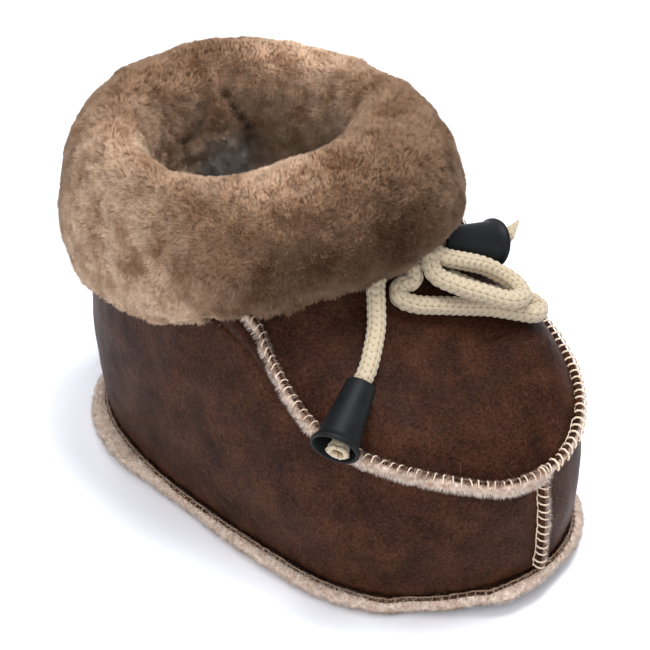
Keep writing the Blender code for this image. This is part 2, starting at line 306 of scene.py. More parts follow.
def seated(piece, slot_name, *nodes):
    """Rides the piece on the slipper and hides the CAD nodes it stands for. The name of its finish is not used."""
    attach(piece, "root")
    if nodes:
        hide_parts(*nodes)
    return piece


# ---- camera ----
# The camera looks down on the toe and the slipper's right side.
CAMERA_AZIMUTH = math.radians(-45.5)
CAMERA_ELEVATION = math.radians(36.5)
CAMERA_DISTANCE = 1300.0
CAMERA_LENS = 300.0
CAMERA_AIM = (0.5, TOTAL_LENGTH / 2, 42.3)


def aim_camera():
    """A long lens, level, looking at the middle of the slipper."""
    back = Vector((
        math.sin(CAMERA_AZIMUTH) * math.cos(CAMERA_ELEVATION),
        -math.cos(CAMERA_AZIMUTH) * math.cos(CAMERA_ELEVATION),
        math.sin(CAMERA_ELEVATION),
    ))
    data = bpy.data.cameras.new("camera")
    data.lens = CAMERA_LENS
    data.clip_end = 20.0
    camera = in_scene("camera", data)
    camera.location = place(CAMERA_AIM) + back * CAMERA_DISTANCE * MM
    camera.rotation_euler = back.to_track_quat("Z", "Y").to_euler()
    bpy.context.scene.camera = camera


aim_camera()


# ---- materials ----
# A finish's colour starts from one shade and takes on others in turn. A shade runs through (value, hex colour)
# stops of its pattern, and multiplies what is under it. An overlay covers up to "most" of what is under it, where
# its pattern runs from low to high: real stains and dye, grey-white undyed wool, and painted shade deep in the
# cuff's fold. A pattern is a value stored on the mesh, by name, or noise with features of a size in millimetres.
Noise = namedtuple("Noise", "size detail rough")
Shade = namedtuple("Shade", "pattern stops")
Overlay = namedtuple("Overlay", "pattern low high most colour")


def finish(name, layers, relief=(), rough=0.9, specular=0.2, **more):
    """A material of shades and stains, with (pattern, depth) rows of relief. Its roughness is a number, or a
    pattern and the roughness where that is 0 and 1."""
    material = bpy.data.materials.new(name)
    material.use_nodes = True
    tree = material.node_tree
    coords = add(tree, "ShaderNodeTexCoord", {}, "Object")
    patterns = {}

    def pattern(of):
        """The socket of a pattern, whose node is made once."""
        if of not in patterns and isinstance(of, str):
            patterns[of] = add(tree, "ShaderNodeAttribute", {}, "Fac", attribute_name=of)
        elif of not in patterns:
            inputs = {"Vector": coords, "Detail": of.detail, "Roughness": of.rough}
            inputs["Scale"] = 1.0 / (of.size * MM)
            patterns[of] = add(tree, "ShaderNodeTexNoise", inputs, noise_dimensions="3D")
        return patterns[of]

    colour = None
    for layer in layers:
        if isinstance(layer, Overlay):
            shade, steps = colour, [layer[1:]]
        else:
            shade = linear(layer.stops[0][1])
            steps = [(a[0], b[0], 1.0, b[1]) for a, b in zip(layer.stops, layer.stops[1:])]
        for low, high, most, hex_colour in steps:
            inputs = {"Value": pattern(layer.pattern), "From Min": low, "From Max": high, "To Max": most}
            cover = add(tree, "ShaderNodeMapRange", inputs)
            shade = add(tree, "ShaderNodeMix", {0: cover, 6: shade, 7: linear(hex_colour)}, 2, data_type="RGBA")
        if colour and isinstance(layer, Shade):
            inputs = {0: 1.0, 6: colour, 7: shade}
            shade = add(tree, "ShaderNodeMix", inputs, 2, data_type="RGBA", blend_type="MULTIPLY")
        colour = shade
    if not isinstance(rough, float):
        inputs = {"Value": pattern(rough[0]), "To Min": rough[1], "To Max": rough[2]}
        rough = add(tree, "ShaderNodeMapRange", inputs)
    for of, depth in relief:
        inputs = {"Height": pattern(of), "Distance": depth * MM, "Strength": 1.0}
        if "Normal" in more:
            inputs["Normal"] = more["Normal"]
        more["Normal"] = add(tree, "ShaderNodeBump", inputs)
    shader = tree.nodes["Principled BSDF"]
    give(shader, {"Base Color": colour, "Roughness": rough, "Specular IOR Level": specular, **more})
    return material


def brown_nappa(name, painted_shade):
    """Oiled sheepskin leather: dark red-brown, mottled, half matt, with reddish patches and fine pale specks. Its
    pores are 0.1 to 0.2 mm, too fine to show, so its grain is drawn coarser, at 0.8 mm."""
    mottle = Noise(9.0, 4.0, 0.62)
    shades = (
        Shade(mottle, ((0.3, "#2b180e"), (0.5, "#3b2216"), (0.7, "#4a2d1e"))),
        Shade(Noise(0.8, 3.0, 0.8), ((0.36, "#a19894"), (0.6, "#ffffff"))),
        Overlay(Noise(2.5, 4.0, 0.7), 0.50, 0.74, 0.117, "#58301f"),
        Overlay(Noise(0.45, 4.0, 0.75), 0.55, 0.72, 0.202, "#8b7364"),
        # Painted shade over the whole leather: white leaves it as it is.
        Shade(mottle, ((0.0, painted_shade),)),
    )
    relief = ((Noise(0.8, 4.0, 0.65), 0.18), (Noise(5.0, 3.0, 0.5), 0.3))
    return finish(name, shades, relief, (mottle, 0.52, 0.38), 0.04)


DEEP_SHADE = "#22180f"     # painted shade, of wool that hardly any light comes out of


def wool_pile(name, root, middle, tip, patch_mm, patch):
    """Clipped sheep's wool: matt fibres, dark between the tufts and pale at the tips, in soft uneven patches.
    It is shaded by the way it lies, which its mesh stores, because its fibres are drawn coarser than hairs."""
    shades = (
        Shade("tip", ((0.0, root), (0.45, middle), (1.0, tip))),
        Shade(Noise(patch_mm, 4.0, 0.65), ((0.32, patch), (0.56, "#ffffff"))),
        Shade("strand", ((0.0, "#dcd6d1"), (0.6, "#ffffff"))),
        # Painted light and shade: the cuff's wool is darker or paler by place, and other wool is left as it is.
        Shade("tone", ((0.0, "#4c3e34"), (0.5, "#a79c93"), (1.0, "#ffffff"))),
        Overlay("undyed", 0.0, 1.0, 1.0, "#b9b5af"),
        # Painted shade where the wool lies deep in the cuff's fold.
        Overlay("hollow", 0.0, 1.0, 1.0, DEEP_SHADE),
        Overlay("dyed", 0.0, 1.0, 1.0, "#7a5440"),
    )
    sheen = {"Sheen Weight": 0.1, "Sheen Roughness": 0.4, "Sheen Tint": linear(tip)}
    made = finish(name, shades, **sheen)
    lie = add(made.node_tree, "ShaderNodeAttribute", {}, "Vector", attribute_name="nap")
    give(made.node_tree.nodes["Principled BSDF"], {"Normal": lie})
    return made


def wool_skin(name, dark, pale, size_mm):
    """The felted roots of the wool, seen only between the fibres: matt, lumpy, darker than the tips."""
    tufts = Noise(size_mm, 4.0, 0.7)
    shades = (
        Shade(tufts, ((0.3, dark), (0.7, pale))),
        # Painted shade where the skin lies deep in the cuff's fold.
        Overlay("hollow", 0.0, 1.0, 1.0, DEEP_SHADE),
        Overlay("dyed", 0.0, 1.0, 1.0, "#5a3b2c"),
    )
    return finish(name, shades, ((tufts, 0.8),), 0.95, 0.15)


def cotton(name, dark, pale):
    """Undyed cotton: matt and cream, with painted shade in the hollows between its loops; on thread the same value
    is its own paleness.
    """
    lint = Noise(0.35, 3.0, 0.7)
    shades = (
        Shade("raised", ((0.05, dark), (0.42, pale))),
        Shade(lint, ((0.3, "#ded8d1"), (0.6, "#ffffff"))),
    )
    return finish(name, shades, ((lint, 0.08),), 0.8, 0.25, **{"Sheen Weight": 0.2})


def black_nylon(name):
    """Moulded black plastic: charcoal, satin, with a faint moulding grain."""
    smear = Noise(6.0, 2.0, 0.5)
    shades = (Shade(smear, ((0.3, "#0c0d0e"), (0.7, "#131516"))),)
    return finish(name, shades, ((Noise(0.5, 2.0, 0.5), 0.015),), (smear, 0.46, 0.60), 0.14)


LEATHER_SKIN = brown_nappa("brown_sheepskin_leather", "#ffffff")
# The vamp's leather is the same leather, made a little darker all over with painted shade.
SHADED_VAMP_SKIN = brown_nappa("darker_sheepskin_leather", "#efeaea")
CUFF_PILE = wool_pile("tan_clipped_wool", "#cba486", "#dfbc9c", "#f1d6bb", 8.0, "#b8a598")
STRAY_HAIR = wool_pile("stray_wool_hair", "#5c4639", "#7a6050", "#94796a", 8.0, "#a08b80")
CUFF_SKIN = wool_skin("tan_wool_roots", "#94745f", "#b5957c", 2.5)
FLOOR_PILE = wool_pile("grey_white_wool", "#d2cdc6", "#f0ede8", "#ffffff", 6.0, "#c9c5bf")
FLOOR_SKIN = wool_skin("grey_wool_roots", "#cfcac3", "#f4f1ec", 2.0)
EDGE_PILE = wool_pile("pale_edge_wool", "#ecd2bb", "#faecdd", "#fff6ec", 1.8, "#c8a892")
EDGE_SKIN = wool_skin("brown_wool_roots", "#a07c66", "#f2e2d4", 1.2)
THREAD = cotton("overlock_thread", "#9a7c62", "#e2cdb6")
# The cord's dark colour is painted shade, in the grooves of its knitting and in a cut end's hollow.
CORD = cotton("cream_knitted_cord", "#755836", "#b5a78e")
PLASTIC = black_nylon("black_moulded_plastic")


# ---- tied cord ----
CORD_THICK = 4.6
WALES = 5                  # columns of knitted loops round the cord
COURSE = 1.85              # between one V of the knitting and the next
KNIT_DEPTH = 0.32
V_SLANT = 1.1              # how far the V's arms run back, of a course
V_MIDDLE, V_SIDE = 0.10, 0.07      # half widths of the grooves in and between the Vs, of a column
CORD_RING = 45             # points round the cord
CORD_STEP = 0.29           # between rings
END_ROUND = 0.9            # how far a round end takes to reach its full width
FRAYED = 2.0               # how far back from a cut end the loops come undone
SPLAY, SPLAY_REACH = 0.30, 2.5     # how much wider a cut end gets, and from how far back
# A cord with a pointed end, as parts of the usual width: its tip, and how much wider the rest of it is. It reaches
# that width at a distance from the tip and keeps it, so all of the cord is slimmer than the others.
TIP_WIDTH, TIP_GROWTH, TIP_REACH = 0.12, 0.68, 5.0
# Rows from a cut end's rim down into its hollow, each with painted shade that grows darker deeper in.
CutRing = namedtuple("CutRing", "wide deep raised")
CUT_END = table(CutRing, (1.05, 0.35, 0.9), (0.72, 0.2, 0.8), (0.48, -0.7, 0.1), (0.36, -2.0, 0.0))

Stop = namedtuple("Stop", "across along height")
KNOT = Stop(5.5, 48.8, 73.3)
KNOT_SIZE = Stop(4.8, 1.9, 1.8)    # from side to side, and from its middle forwards and up
KNOT_THICK = 3.6           # of its cord, drawn tight
KNOT_STEPS, STEPS_A_TURN = 14, 8
LOOP_A = table(
    Stop,
    (5.8, 45.3, 75.7), (4.6, 41.7, 71.7), (7.3, 37.6, 69.2), (11.7, 33.3, 66.8), (16.7, 29.4, 64.2),
    (21.5, 29.4, 62.8), (23.0, 32.9, 63.7), (21.8, 36.8, 65.3), (18.0, 39.7, 68.4), (9.5, 43.0, 73.2),
    (7.0, 45.6, 75.4),
)
LOOP_B = table(
    Stop,
    (2.9, 47.2, 73.0), (1.1, 45.4, 69.8), (-2.4, 46.2, 69.4), (-4.2, 44.5, 67.8), (-1.2, 41.9, 65.7),
    (4.2, 39.5, 63.8), (10.2, 36.8, 61.8), (16.0, 34.0, 59.9), (21.4, 30.6, 57.6), (25.4, 28.8, 55.8),
    (28.8, 30.4, 54.9), (27.8, 33.0, 56.4), (22.1, 35.3, 59.4), (16.4, 38.0, 62.4), (9.8, 43.6, 67.5),
)
END_RIGHT = table(
    Stop,
    (1.4, 49.2, 73.7), (-3.6, 50.2, 73.6), (-7.8, 48.8, 72.0), (-10.9, 45.8, 69.0), (-13.9, 42.8, 65.8),
    (-18.1, 39.8, 63.2), (-22.4, 37.2, 61.0), (-26.6, 35.4, 59.1), (-41.5, 28.5, 51.4),
)
END_LEFT = table(
    Stop,
    (10.1, 48.8, 73.2), (13.6, 49.2, 72.5), (29.9, 46.2, 65.1), (33.4, 46.1, 65.0), (39.4, 47.2, 66.6),
)
BELL_RIGHT = table(Stop, (-26.6, 35.4, 59.1), (-42.1, 29.1, 52.0))
BELL_LEFT = (END_LEFT[1], END_LEFT[2])


def even_rows(rows, step, least):
    """Rows of numbers that start with a place, evenly along the line through the places, and its length."""
    runs = np.concatenate([[0.0], np.cumsum(np.linalg.norm(np.diff(rows[:, :3], axis=0), axis=1))])
    at = np.linspace(0.0, runs[-1], max(least, round(runs[-1] / step)) + 1)
    return np.stack([np.interp(at, runs, column) for column in rows.T], axis=1), float(runs[-1])


def smooth_route(stops, step):
    """Points evenly spaced on a smooth curve through the stops, and the curve's length."""
    knots = [Vector(stop) for stop in stops]
    knots = [2 * knots[0] - knots[1]] + knots + [2 * knots[-1] - knots[-2]]
    fine = []
    for a, b, c, d in zip(knots, knots[1:], knots[2:], knots[3:]):
        for i in range(40):
            t = i / 40
            fine.append(b + 0.5 * t * (c - a + t * (2 * a - 5 * b + 4 * c - d + t * (3 * (b - c) + d - a))))
    rows, length = even_rows(np.array(fine + [knots[-2]]), step, 4)
    return [Vector(row) for row in rows], length


def round_about(turn, side, top):
    """The way out from a line, a turn round it from its side to its top."""
    return math.cos(turn) * side + math.sin(turn) * top


def frames_along(points, first=UP):
    """(tangent, side, top) at each point, turned as little as possible from one to the next."""
    frames, top = [], first
    for i, point in enumerate(points):
        tangent = (points[min(i + 1, len(points) - 1)] - points[max(i - 1, 0)]).normalized()
        top = (top - top.dot(tangent) * tangent).normalized()
        frames.append((tangent, tangent.cross(top), top))
    return frames


def knit(round_part, along_mm):
    """How far a loop of the knitting stands up: V-shaped loops in columns round the cord, 0 to 1."""
    wale = (round_part * WALES) % 1.0 - 0.5
    loop = 0.5 + 0.5 * math.cos(2 * math.pi * (along_mm / COURSE + V_SLANT * abs(wale)))
    groove = min(1.0, abs(wale) / V_MIDDLE) * min(1.0, (0.5 - abs(wale)) / V_SIDE)
    return (0.25 + 0.75 * loop**0.7) * (0.25 + 0.75 * groove)


def rounded_off(distance):
    """How wide a rounded end is at a distance from its tip."""
    return 0.55 + 0.45 * math.sqrt(max(0.0, 1.0 - (1.0 - min(1.0, distance / END_ROUND)) ** 2))


def knitted_cord(name, stops, thick=CORD_THICK, end="round"):
    """A tube of knitted loops along a route, its far end round, cut across and hollow, or drawn to a point."""
    points, length = smooth_route(stops, CORD_STEP)
    verts, raised = [], []
    turns = [2 * math.pi * j / CORD_RING for j in range(CORD_RING)]
    for i, (point, (tangent, side, top)) in enumerate(zip(points, frames_along(points))):
        run = i * length / (len(points) - 1)
        to_end = length - run
        slim = rounded_off(run)
        if end == "round":
            slim = min(slim, rounded_off(to_end))
        elif end == "cut":
            slim *= 1.0 + SPLAY * max(0.0, 1.0 - to_end / SPLAY_REACH)
        elif end == "point":
            slim = min(slim, TIP_WIDTH + TIP_GROWTH * min(1.0, to_end / TIP_REACH))
        for j, turn in enumerate(turns):
            height = knit(j / CORD_RING, run)
            radius = (thick / 2 - KNIT_DEPTH * (1 - height)) * slim
            if end == "cut" and to_end < FRAYED:
                frayed = 0.5 + 0.9 * noise.noise(Vector((j * 0.5, run * 1.5, 3.0)))
                height += (min(1.0, max(0.0, frayed)) - height) * (1.0 - to_end / FRAYED)
                radius *= 1.0 + 0.12 * (frayed - 0.5) * (1.0 - to_end / FRAYED)
            verts.append(point + radius * round_about(turn, side, top))
            # The loops are drawn paler than the grooves between them: painted shade.
            raised.append(height)
    for wide, deep, height in CUT_END if end == "cut" else ():
        for j, turn in enumerate(turns):
            ragged = 1.0 + 0.16 * noise.noise(Vector((j * 0.6, deep * 3.0, 0.5)))
            spoke = wide * ragged * thick / 2 * round_about(turn, side, top)
            verts.append(point + tangent * deep * ragged + spoke)
            raised.append(max(0.0, height * (0.55 + 0.8 * noise.noise(Vector((j * 0.7, wide * 9.0, 7.0))))))
    rings = len(verts) // CORD_RING
    faces = grid_faces(rings, CORD_RING)
    for end_ring, order in ((0, -1), (rings - 1, 1)):
        ring = [end_ring * CORD_RING + j for j in range(CORD_RING)]
        verts.append(sum((Vector(verts[v]) for v in ring), Vector()) / CORD_RING)
        # The middle of each end is painted at the darkest shade.
        raised.append(0.0)
        for j in range(CORD_RING):
            faces.append((ring[j], ring[(j + 1) % CORD_RING], len(verts) - 1)[::order])
    cord = facing_out(mesh_object(name, verts, faces, CORD))
    set_values(cord, "raised", raised)
    return cord, [place(point) for point in points], length


def lathe(name, start, stop, section, material, steps=72):
    """A turned piece: (radius, down) rows about the line from start towards stop."""
    axis = (Vector(stop) - Vector(start)).normalized()
    side = axis.orthogonal().normalized()
    other = axis.cross(side)
    turns = [2 * math.pi * j / steps for j in range(steps)]
    verts = [Vector(start) + axis * down + radius * round_about(turn, side, other)
             for radius, down in section for turn in turns]
    return facing_out(mesh_object(name, verts, grid_faces(len(section), steps, round_rows=True), material))


def rounded(section, reach=0.35):
    """A closed section with each corner cut into an arc of three points."""
    out = []
    for before, here, after in zip(section[-1:] + section, section, section[1:] + section[:1]):
        here = Vector(here)
        a, b = [here + (Vector(near) - here).normalized() * min(reach, (Vector(near) - here).length * 0.45)
                for near in (before, after)]
        out += [tuple(a), tuple((a + b + 2 * here) / 4), tuple(b)]
    return out


# The bell's section, as (radius, down) rows: down its outside, over its lip and up its inside.
BELL_SECTION = (
    (3.7, 0.0), (3.85, 2.5), (4.5, 9.0), (5.3, 15.6), (5.75, 16.5), (6.1, 17.0), (6.1, 17.9), (5.3, 18.0),
    (4.6, 14.0), (3.4, 7.0), (2.65, 3.0), (2.65, 0.0),
)


def build_cords():
    """The knot is a cord of its own, wound nearly twice over the place where the loops and ends go in."""
    bells = [seated(lathe("cord_end_bell_" + side, *ends, rounded(BELL_SECTION), PLASTIC), "black_plastic",
                    "cord_end_" + side) for side, ends in (("right", BELL_RIGHT), ("left", BELL_LEFT))]
    turns = [(step / KNOT_STEPS, 2 * math.pi * step / STEPS_A_TURN) for step in range(KNOT_STEPS + 1)]
    wound = [Stop(KNOT.across - KNOT_SIZE.across / 2 + KNOT_SIZE.across * part,
                  KNOT.along + KNOT_SIZE.along * math.cos(turn),
                  KNOT.height + KNOT_SIZE.height * math.sin(turn)) for part, turn in turns]
    seated(knitted_cord("bow_knot", wound, KNOT_THICK)[0], "cream_cord", "lace_knot")
    for name, stops, node, far_end, end, with_pieces in (
        ("bow_loop_front", LOOP_A, "lace_loop_a", "object", "round", []),
        ("bow_loop_under", LOOP_B, "lace_loop_b", "object", "round", []),
        ("bow_end_right", END_RIGHT, "lace_end_right", "bare", "cut", bells[:1]),
        ("bow_end_left", END_LEFT, "lace_end_left", "bare", "point", bells[1:]),
    ):
        cord, path, length = knitted_cord(name, stops, end=end)
        seated(cord, "cream_cord", node)


build_cords()


# ---- leather upper ----
COLUMNS = 240
BAND_ROWS = 32
VAMP_ROWS = 46

# Soft troughs (minus) and ridges (plus) pressed into the leather: where each is, which way it runs, and
# its half length, half width and depth.
Crease = namedtuple("Crease", "across along height run half_length half_width depth")
CREASES = table(
    Crease,
    (-20.0, 30.0, 52.0, (0.8, 0.5, 0.2), 12.0, 3.5, -0.5), (6.0, 20.0, 50.0, (1.0, 0.1, 0.1), 14.0, 4.0, 0.4),
    (-36.0, 60.0, 34.0, (0.0, 0.9, 0.3), 16.0, 4.0, -0.5),
    (-36.0, 88.0, 42.0, (0.0, 0.5, -0.8), 12.0, 3.5, 0.6), (-30.0, 30.0, 22.0, (0.4, 0.9, 0.1), 14.0, 4.0, 0.4),
    (36.0, 66.0, 34.0, (0.0, 0.9, 0.3), 16.0, 4.0, -0.5), (37.0, 92.0, 38.0, (0.0, 0.5, -0.8), 12.0, 3.5, 0.6),
    (0.0, 132.0, 36.0, (1.0, 0.0, 0.0), 15.0, 4.5, -0.7),
    (-22.0, 13.0, 9.0, (0.75, -0.6, 0.0), 13.0, 9.0, -1.6),
    (-10.0, 44.0, 67.0, (1.0, 0.4, 0.3), 10.0, 2.5, -0.5),
    (16.0, 34.0, 60.0, (0.6, -0.7, -0.3), 11.0, 3.0, -0.5),
)

Wave = namedtuple("Wave", "size height")
LEATHER_WAVES = table(Wave, (14.0, 0.35), (4.0, 0.12))
COLUMN_RUN = 1.35          # between two columns of the leather, on average
STITCH_PULL = 0.35         # how deep the stitches draw the leather in
PULL_REACH = 2.6
PULL_PITCH = 4.4


def creased(point):
    """How far the leather is pushed in or out at a point."""
    push = 0.0
    for crease in CREASES:
        away = point - Vector(crease[:3])
        run = Vector(crease.run).normalized()
        length = away.dot(run)
        width = (away - length * run).length
        fade = -((length / crease.half_length) ** 2) - (width / crease.half_width) ** 2
        push += crease.depth * math.exp(fade)
    return push + waves(point, LEATHER_WAVES)


def pucker(distance, run):
    """The leather drawn in by the stitches near a seam, a little at each stitch."""
    near = math.exp(-((distance / PULL_REACH) ** 2))
    return -STITCH_PULL * near * (0.6 + 0.4 * math.sin(run * 2 * math.pi / PULL_PITCH))


def leather_sheet(name, surface, rows, seam_at_top, skin):
    """One leather panel as a closed sheet: its face, and its back a leather's thickness behind."""
    face, back = [], []
    for row in range(rows + 1):
        part = row / rows
        for i in range(COLUMNS):
            angle = 2 * math.pi * i / COLUMNS
            point = surface(angle, part)
            normal = side_normal(surface, angle, part)
            push = creased(point)
            if seam_at_top:
                push += pucker((surface(angle, 1.0) - point).length, i * COLUMN_RUN)
            push += pucker((point - surface(angle, 0.0)).length, i * COLUMN_RUN)
            face.append(point + push * normal)
            back.append(point + (push - LEATHER) * normal)
    count = len(face)
    faces = grid_faces(rows + 1, COLUMNS)
    faces += [tuple(v + count for v in reversed(f)) for f in grid_faces(rows + 1, COLUMNS)]
    for base, order in ((0, 1), (rows * COLUMNS, -1)):
        for c in range(COLUMNS):
            d = (c + 1) % COLUMNS
            faces.append((base + d, base + c, base + c + count, base + d + count)[::order])
    return facing_out(mesh_object(name, face + back, faces, skin))


side_band = leather_sheet("side_band", band_point, BAND_ROWS, True, LEATHER_SKIN)
vamp = leather_sheet("vamp", top_point, VAMP_ROWS, False, SHADED_VAMP_SKIN)
seated(side_band, "brown_leather", "upper")
seated(vamp, "brown_leather")


def face_count(panel):
    """How many of a leather panel's faces are its outside, which come first."""
    return len(panel.data.polygons) // 2 - COLUMNS


def leather_outside():
    """The outer faces of the leather, in millimetres, to lay the seam on and to keep the wool clear of."""
    verts, faces = [], []
    for panel in (side_band, vamp):
        faces += [[len(verts) + v for v in p.vertices] for p in panel.data.polygons[: face_count(panel)]]
        verts += [slipper_point(v.co) for v in panel.data.vertices]
    return BVHTree.FromPolygons(verts, faces)


LEATHER_FACE = leather_outside()


# ---- seams ----
# An overlocked seam: two leather edges stood up together with wool caught between them, and thread cast over.
Spine = namedtuple("Spine", "points fronts tops")
STITCH_PITCH = 2.1


def even_spine(points, fronts, tops, step):
    """The same spine with points evenly spaced."""
    rows, _ = even_rows(np.array([[*p, *f, *t] for p, f, t in zip(points, fronts, tops)]), step, 2)
    return Spine(
        [Vector(row[:3]) for row in rows],
        [Vector(row[3:6]).normalized() for row in rows],
        [Vector(row[6:]).normalized() for row in rows],
    )


LEAN_OUT, LEAN_UP = 0.72, 0.69     # the sewn edge stands out from the wall and up, its woolly front below


def leaning_spine(places, step):
    """A spine through (point, outward) places on the wall."""
    points, fronts, tops = [], [], []
    for point, out in places:
        out = Vector((out.x, out.y, 0.0)).normalized()
        points.append(point + 0.1 * out)
        fronts.append(LEAN_OUT * out - LEAN_UP * UP)
        tops.append(LEAN_UP * out + LEAN_OUT * UP)
    return even_spine(points, fronts, tops, step)


LEFT_PLUG_TURN = 1.62      # radians round from the toe

# The right-hand seam wanders off the panel's edge as it nears the cuff.
RIGHT_PLUG = table(
    Stop,
    (-31.8, 72.6, 68.2), (-31.9, 69.2, 66.8), (-32.1, 63.4, 63.9), (-33.8, 58.8, 60.6), (-34.8, 54.3, 56.8),
    (-35.2, 48.4, 52.0), (-35.0, 42.4, 48.4), (-34.2, 36.6, 46.3), (-32.7, 30.2, 44.9), (-29.6, 22.8, 43.6),
    (-25.7, 16.4, 42.3), (-20.0, 10.4, 40.3), (-14.4, 6.4, 38.2), (-9.4, 4.3, 36.9), (-3.2, 3.1, 36.1),
    (1.2, 3.0, 36.0),
)


def right_plug_spine(step):
    """The right-hand seam, laid on the leather from under the cuff to just past the toe."""
    found = [LEATHER_FACE.find_nearest(point) for point in smooth_route(RIGHT_PLUG, 1.0)[0]]
    return leaning_spine([(spot, normal) for spot, normal, _, _ in found], step)


def left_plug_spine(step):
    """The left-hand seam, along the panel's edge from the toe to under the cuff."""
    angles = [LEFT_PLUG_TURN * i / 240 for i in range(241)]
    return leaning_spine([(seam_point(angle), side_normal(band_point, angle, 1.0)) for angle in angles], step)


# How far the sole's woolly edge stands out beyond its usual width, by how far round from the toe: it was cut
# and sewn by hand and isn't even.
ReachRow = namedtuple("ReachRow", "degrees reach")
RIGHT_REACH = table(
    ReachRow,
    (0.0, 0.6), (14.0, 1.2), (28.0, -1.5), (47.0, -1.9), (60.0, 0.4), (67.0, 0.8), (82.0, 1.1), (103.0, 0.7),
    (113.0, -0.1), (122.0, 1.0), (130.0, 2.8), (140.0, 2.8), (150.0, 1.8), (180.0, 1.4),
)
LEFT_REACH = table(ReachRow, (0.0, 0.6), (11.0, 0.0), (23.0, 0.6), (48.0, 1.4), (70.0, 0.6), (180.0, 1.4))


def sole_reach(angle):
    """How far the edge reaches at an angle round from the toe."""
    if angle > math.pi:
        return table_value(RIGHT_REACH, math.degrees(2 * math.pi - angle))
    return table_value(LEFT_REACH, math.degrees(angle))


def sole_wide(point):
    """How much wider than usual the wool of the sole's edge is at a point."""
    line = wall_line()
    reach = line.widest - line.toe if point.y < line.widest else line.heel - line.widest
    angle = math.atan2(point.x / line.half, (line.widest - point.y) / reach)
    return max(0.0, sole_reach(angle % (2 * math.pi)))


def sole_spine(step):
    """All round the sole's edge: front is below, top stands outwards."""
    points, fronts, tops = [], [], []
    for i in range(481):
        angle = 2 * math.pi * i / 480
        across, along = plan_point(wall_line(), angle)
        ahead = Vector(plan_point(wall_line(), angle + 0.01)) - Vector(plan_point(wall_line(), angle - 0.01))
        out = Vector((ahead.y, -ahead.x, 0.0)).normalized()
        inward = min(0.0, sole_reach(angle % (2 * math.pi)))
        points.append(Vector((across, along, SOLE_THICK - 1.6 + sole_lift(along))) + (0.2 + inward) * out)
        fronts.append(-UP)
        tops.append(out)
    return even_spine(points, fronts, tops, step)


def toe_spine(step):
    """Up the middle of the toe, from just over the sole's seam to just under the vamp's."""
    parts = [0.04 + 0.92 * i / 40 for i in range(41)]
    tops = [side_normal(band_point, 0.0, part) for part in parts]
    return even_spine([band_point(0.0, part) for part in parts], [Vector((1.0, 0.0, 0.0))] * 41, tops, step)


def swept(name, spine, section, material, closed=False, wobble=0.0, widen=None):
    """A section of (front, top) points swept along a spine, with small bumps."""
    verts = []
    for point, front, top in zip(*spine):
        wider = 1.0 + widen(point) / max(b for _, b in section) if widen else 1.0
        for a, b in section:
            bumpy = 1.0 + wobble * noise.noise(point / 1.3 + Vector((a, b, 0.0)))
            verts.append(point + front * a * bumpy + top * (b * wider if b > 0.0 else b) * bumpy)
    size = len(section)
    faces = grid_faces(len(spine.points), size)
    if not closed:
        faces += [tuple(range(size))[::-1], tuple(range(len(verts) - size, len(verts)))]
    return facing_out(mesh_object(name, verts, faces, material))


def oval(front, back, low, high, steps=14):
    """An oval section between two fronts and two tops."""
    middle, wide = (front + back) / 2, (back - front) / 2
    centre, tall = (low + high) / 2, (high - low) / 2
    turns = [2 * math.pi * k / steps for k in range(steps)]
    return [(middle + wide * math.cos(t), centre + tall * math.sin(t)) for t in turns]


def new_tree(name, result, **sockets):
    """A Geometry Nodes tree with one result, and the sockets of its named inputs."""
    tree = bpy.data.node_groups.new(name, "GeometryNodeTree")
    for label, kind in sockets.items():
        tree.interface.new_socket(name=label.replace("_", " "), in_out="INPUT", socket_type="NodeSocket" + kind)
    tree.interface.new_socket(name=result, in_out="OUTPUT", socket_type="NodeSocketGeometry")
    given = tree.nodes.new("NodeGroupInput").outputs
    return tree, {label: given[label.replace("_", " ")] for label in sockets}


def close_tree(tree, copies, material):
    """Makes the copies real and gives them their material, as the tree's result."""
    real = add(tree, "GeometryNodeRealizeInstances", {"Geometry": copies})
    done = add(tree, "GeometryNodeSetMaterial", {"Geometry": real, "Material": material})
    add(tree, "NodeGroupOutput", {0: done})
    return tree


def instance_tree(name):
    """Stands a copy of a stitch on every point, turned to the point's own directions."""
    tree, given = new_tree(name, "Stitches", Points="Geometry", Stitch="Object", Thickness="Float",
                           Unevenness="Float", Seed="Int", Finish="Material")
    front, top = [add(tree, "GeometryNodeInputNamedAttribute", {"Name": label}, data_type="FLOAT_VECTOR")
                  for label in ("front", "top")]
    turned = add(tree, "FunctionNodeAxesToRotation", {"Primary Axis": top, "Secondary Axis": front},
                 primary_axis="Z", secondary_axis="Y")
    other_way = add(tree, "ShaderNodeMath", {0: given["Unevenness"], 1: -1.0}, operation="MULTIPLY")
    jitter = add(tree, "FunctionNodeRandomValue",
                 {2: other_way, 3: given["Unevenness"], "Seed": given["Seed"]}, 1, data_type="FLOAT")
    lean = add(tree, "FunctionNodeAxisAngleToRotation", {"Axis": UP, "Angle": jitter})
    uneven = add(tree, "FunctionNodeRotateRotation", {"Rotation": turned, "Rotate By": lean},
                 rotation_space="LOCAL")
    size = add(tree, "ShaderNodeMath", {0: jitter, 1: 0.35}, operation="MULTIPLY")
    size = add(tree, "ShaderNodeMath", {0: size, 1: given["Thickness"]}, operation="ADD")
    stitch = add(tree, "GeometryNodeObjectInfo", {"Object": given["Stitch"]}, "Geometry")
    copies = add(tree, "GeometryNodeInstanceOnPoints",
                 {"Points": given["Points"], "Instance": stitch, "Rotation": uneven, "Scale": size})
    return close_tree(tree, copies, given["Finish"])


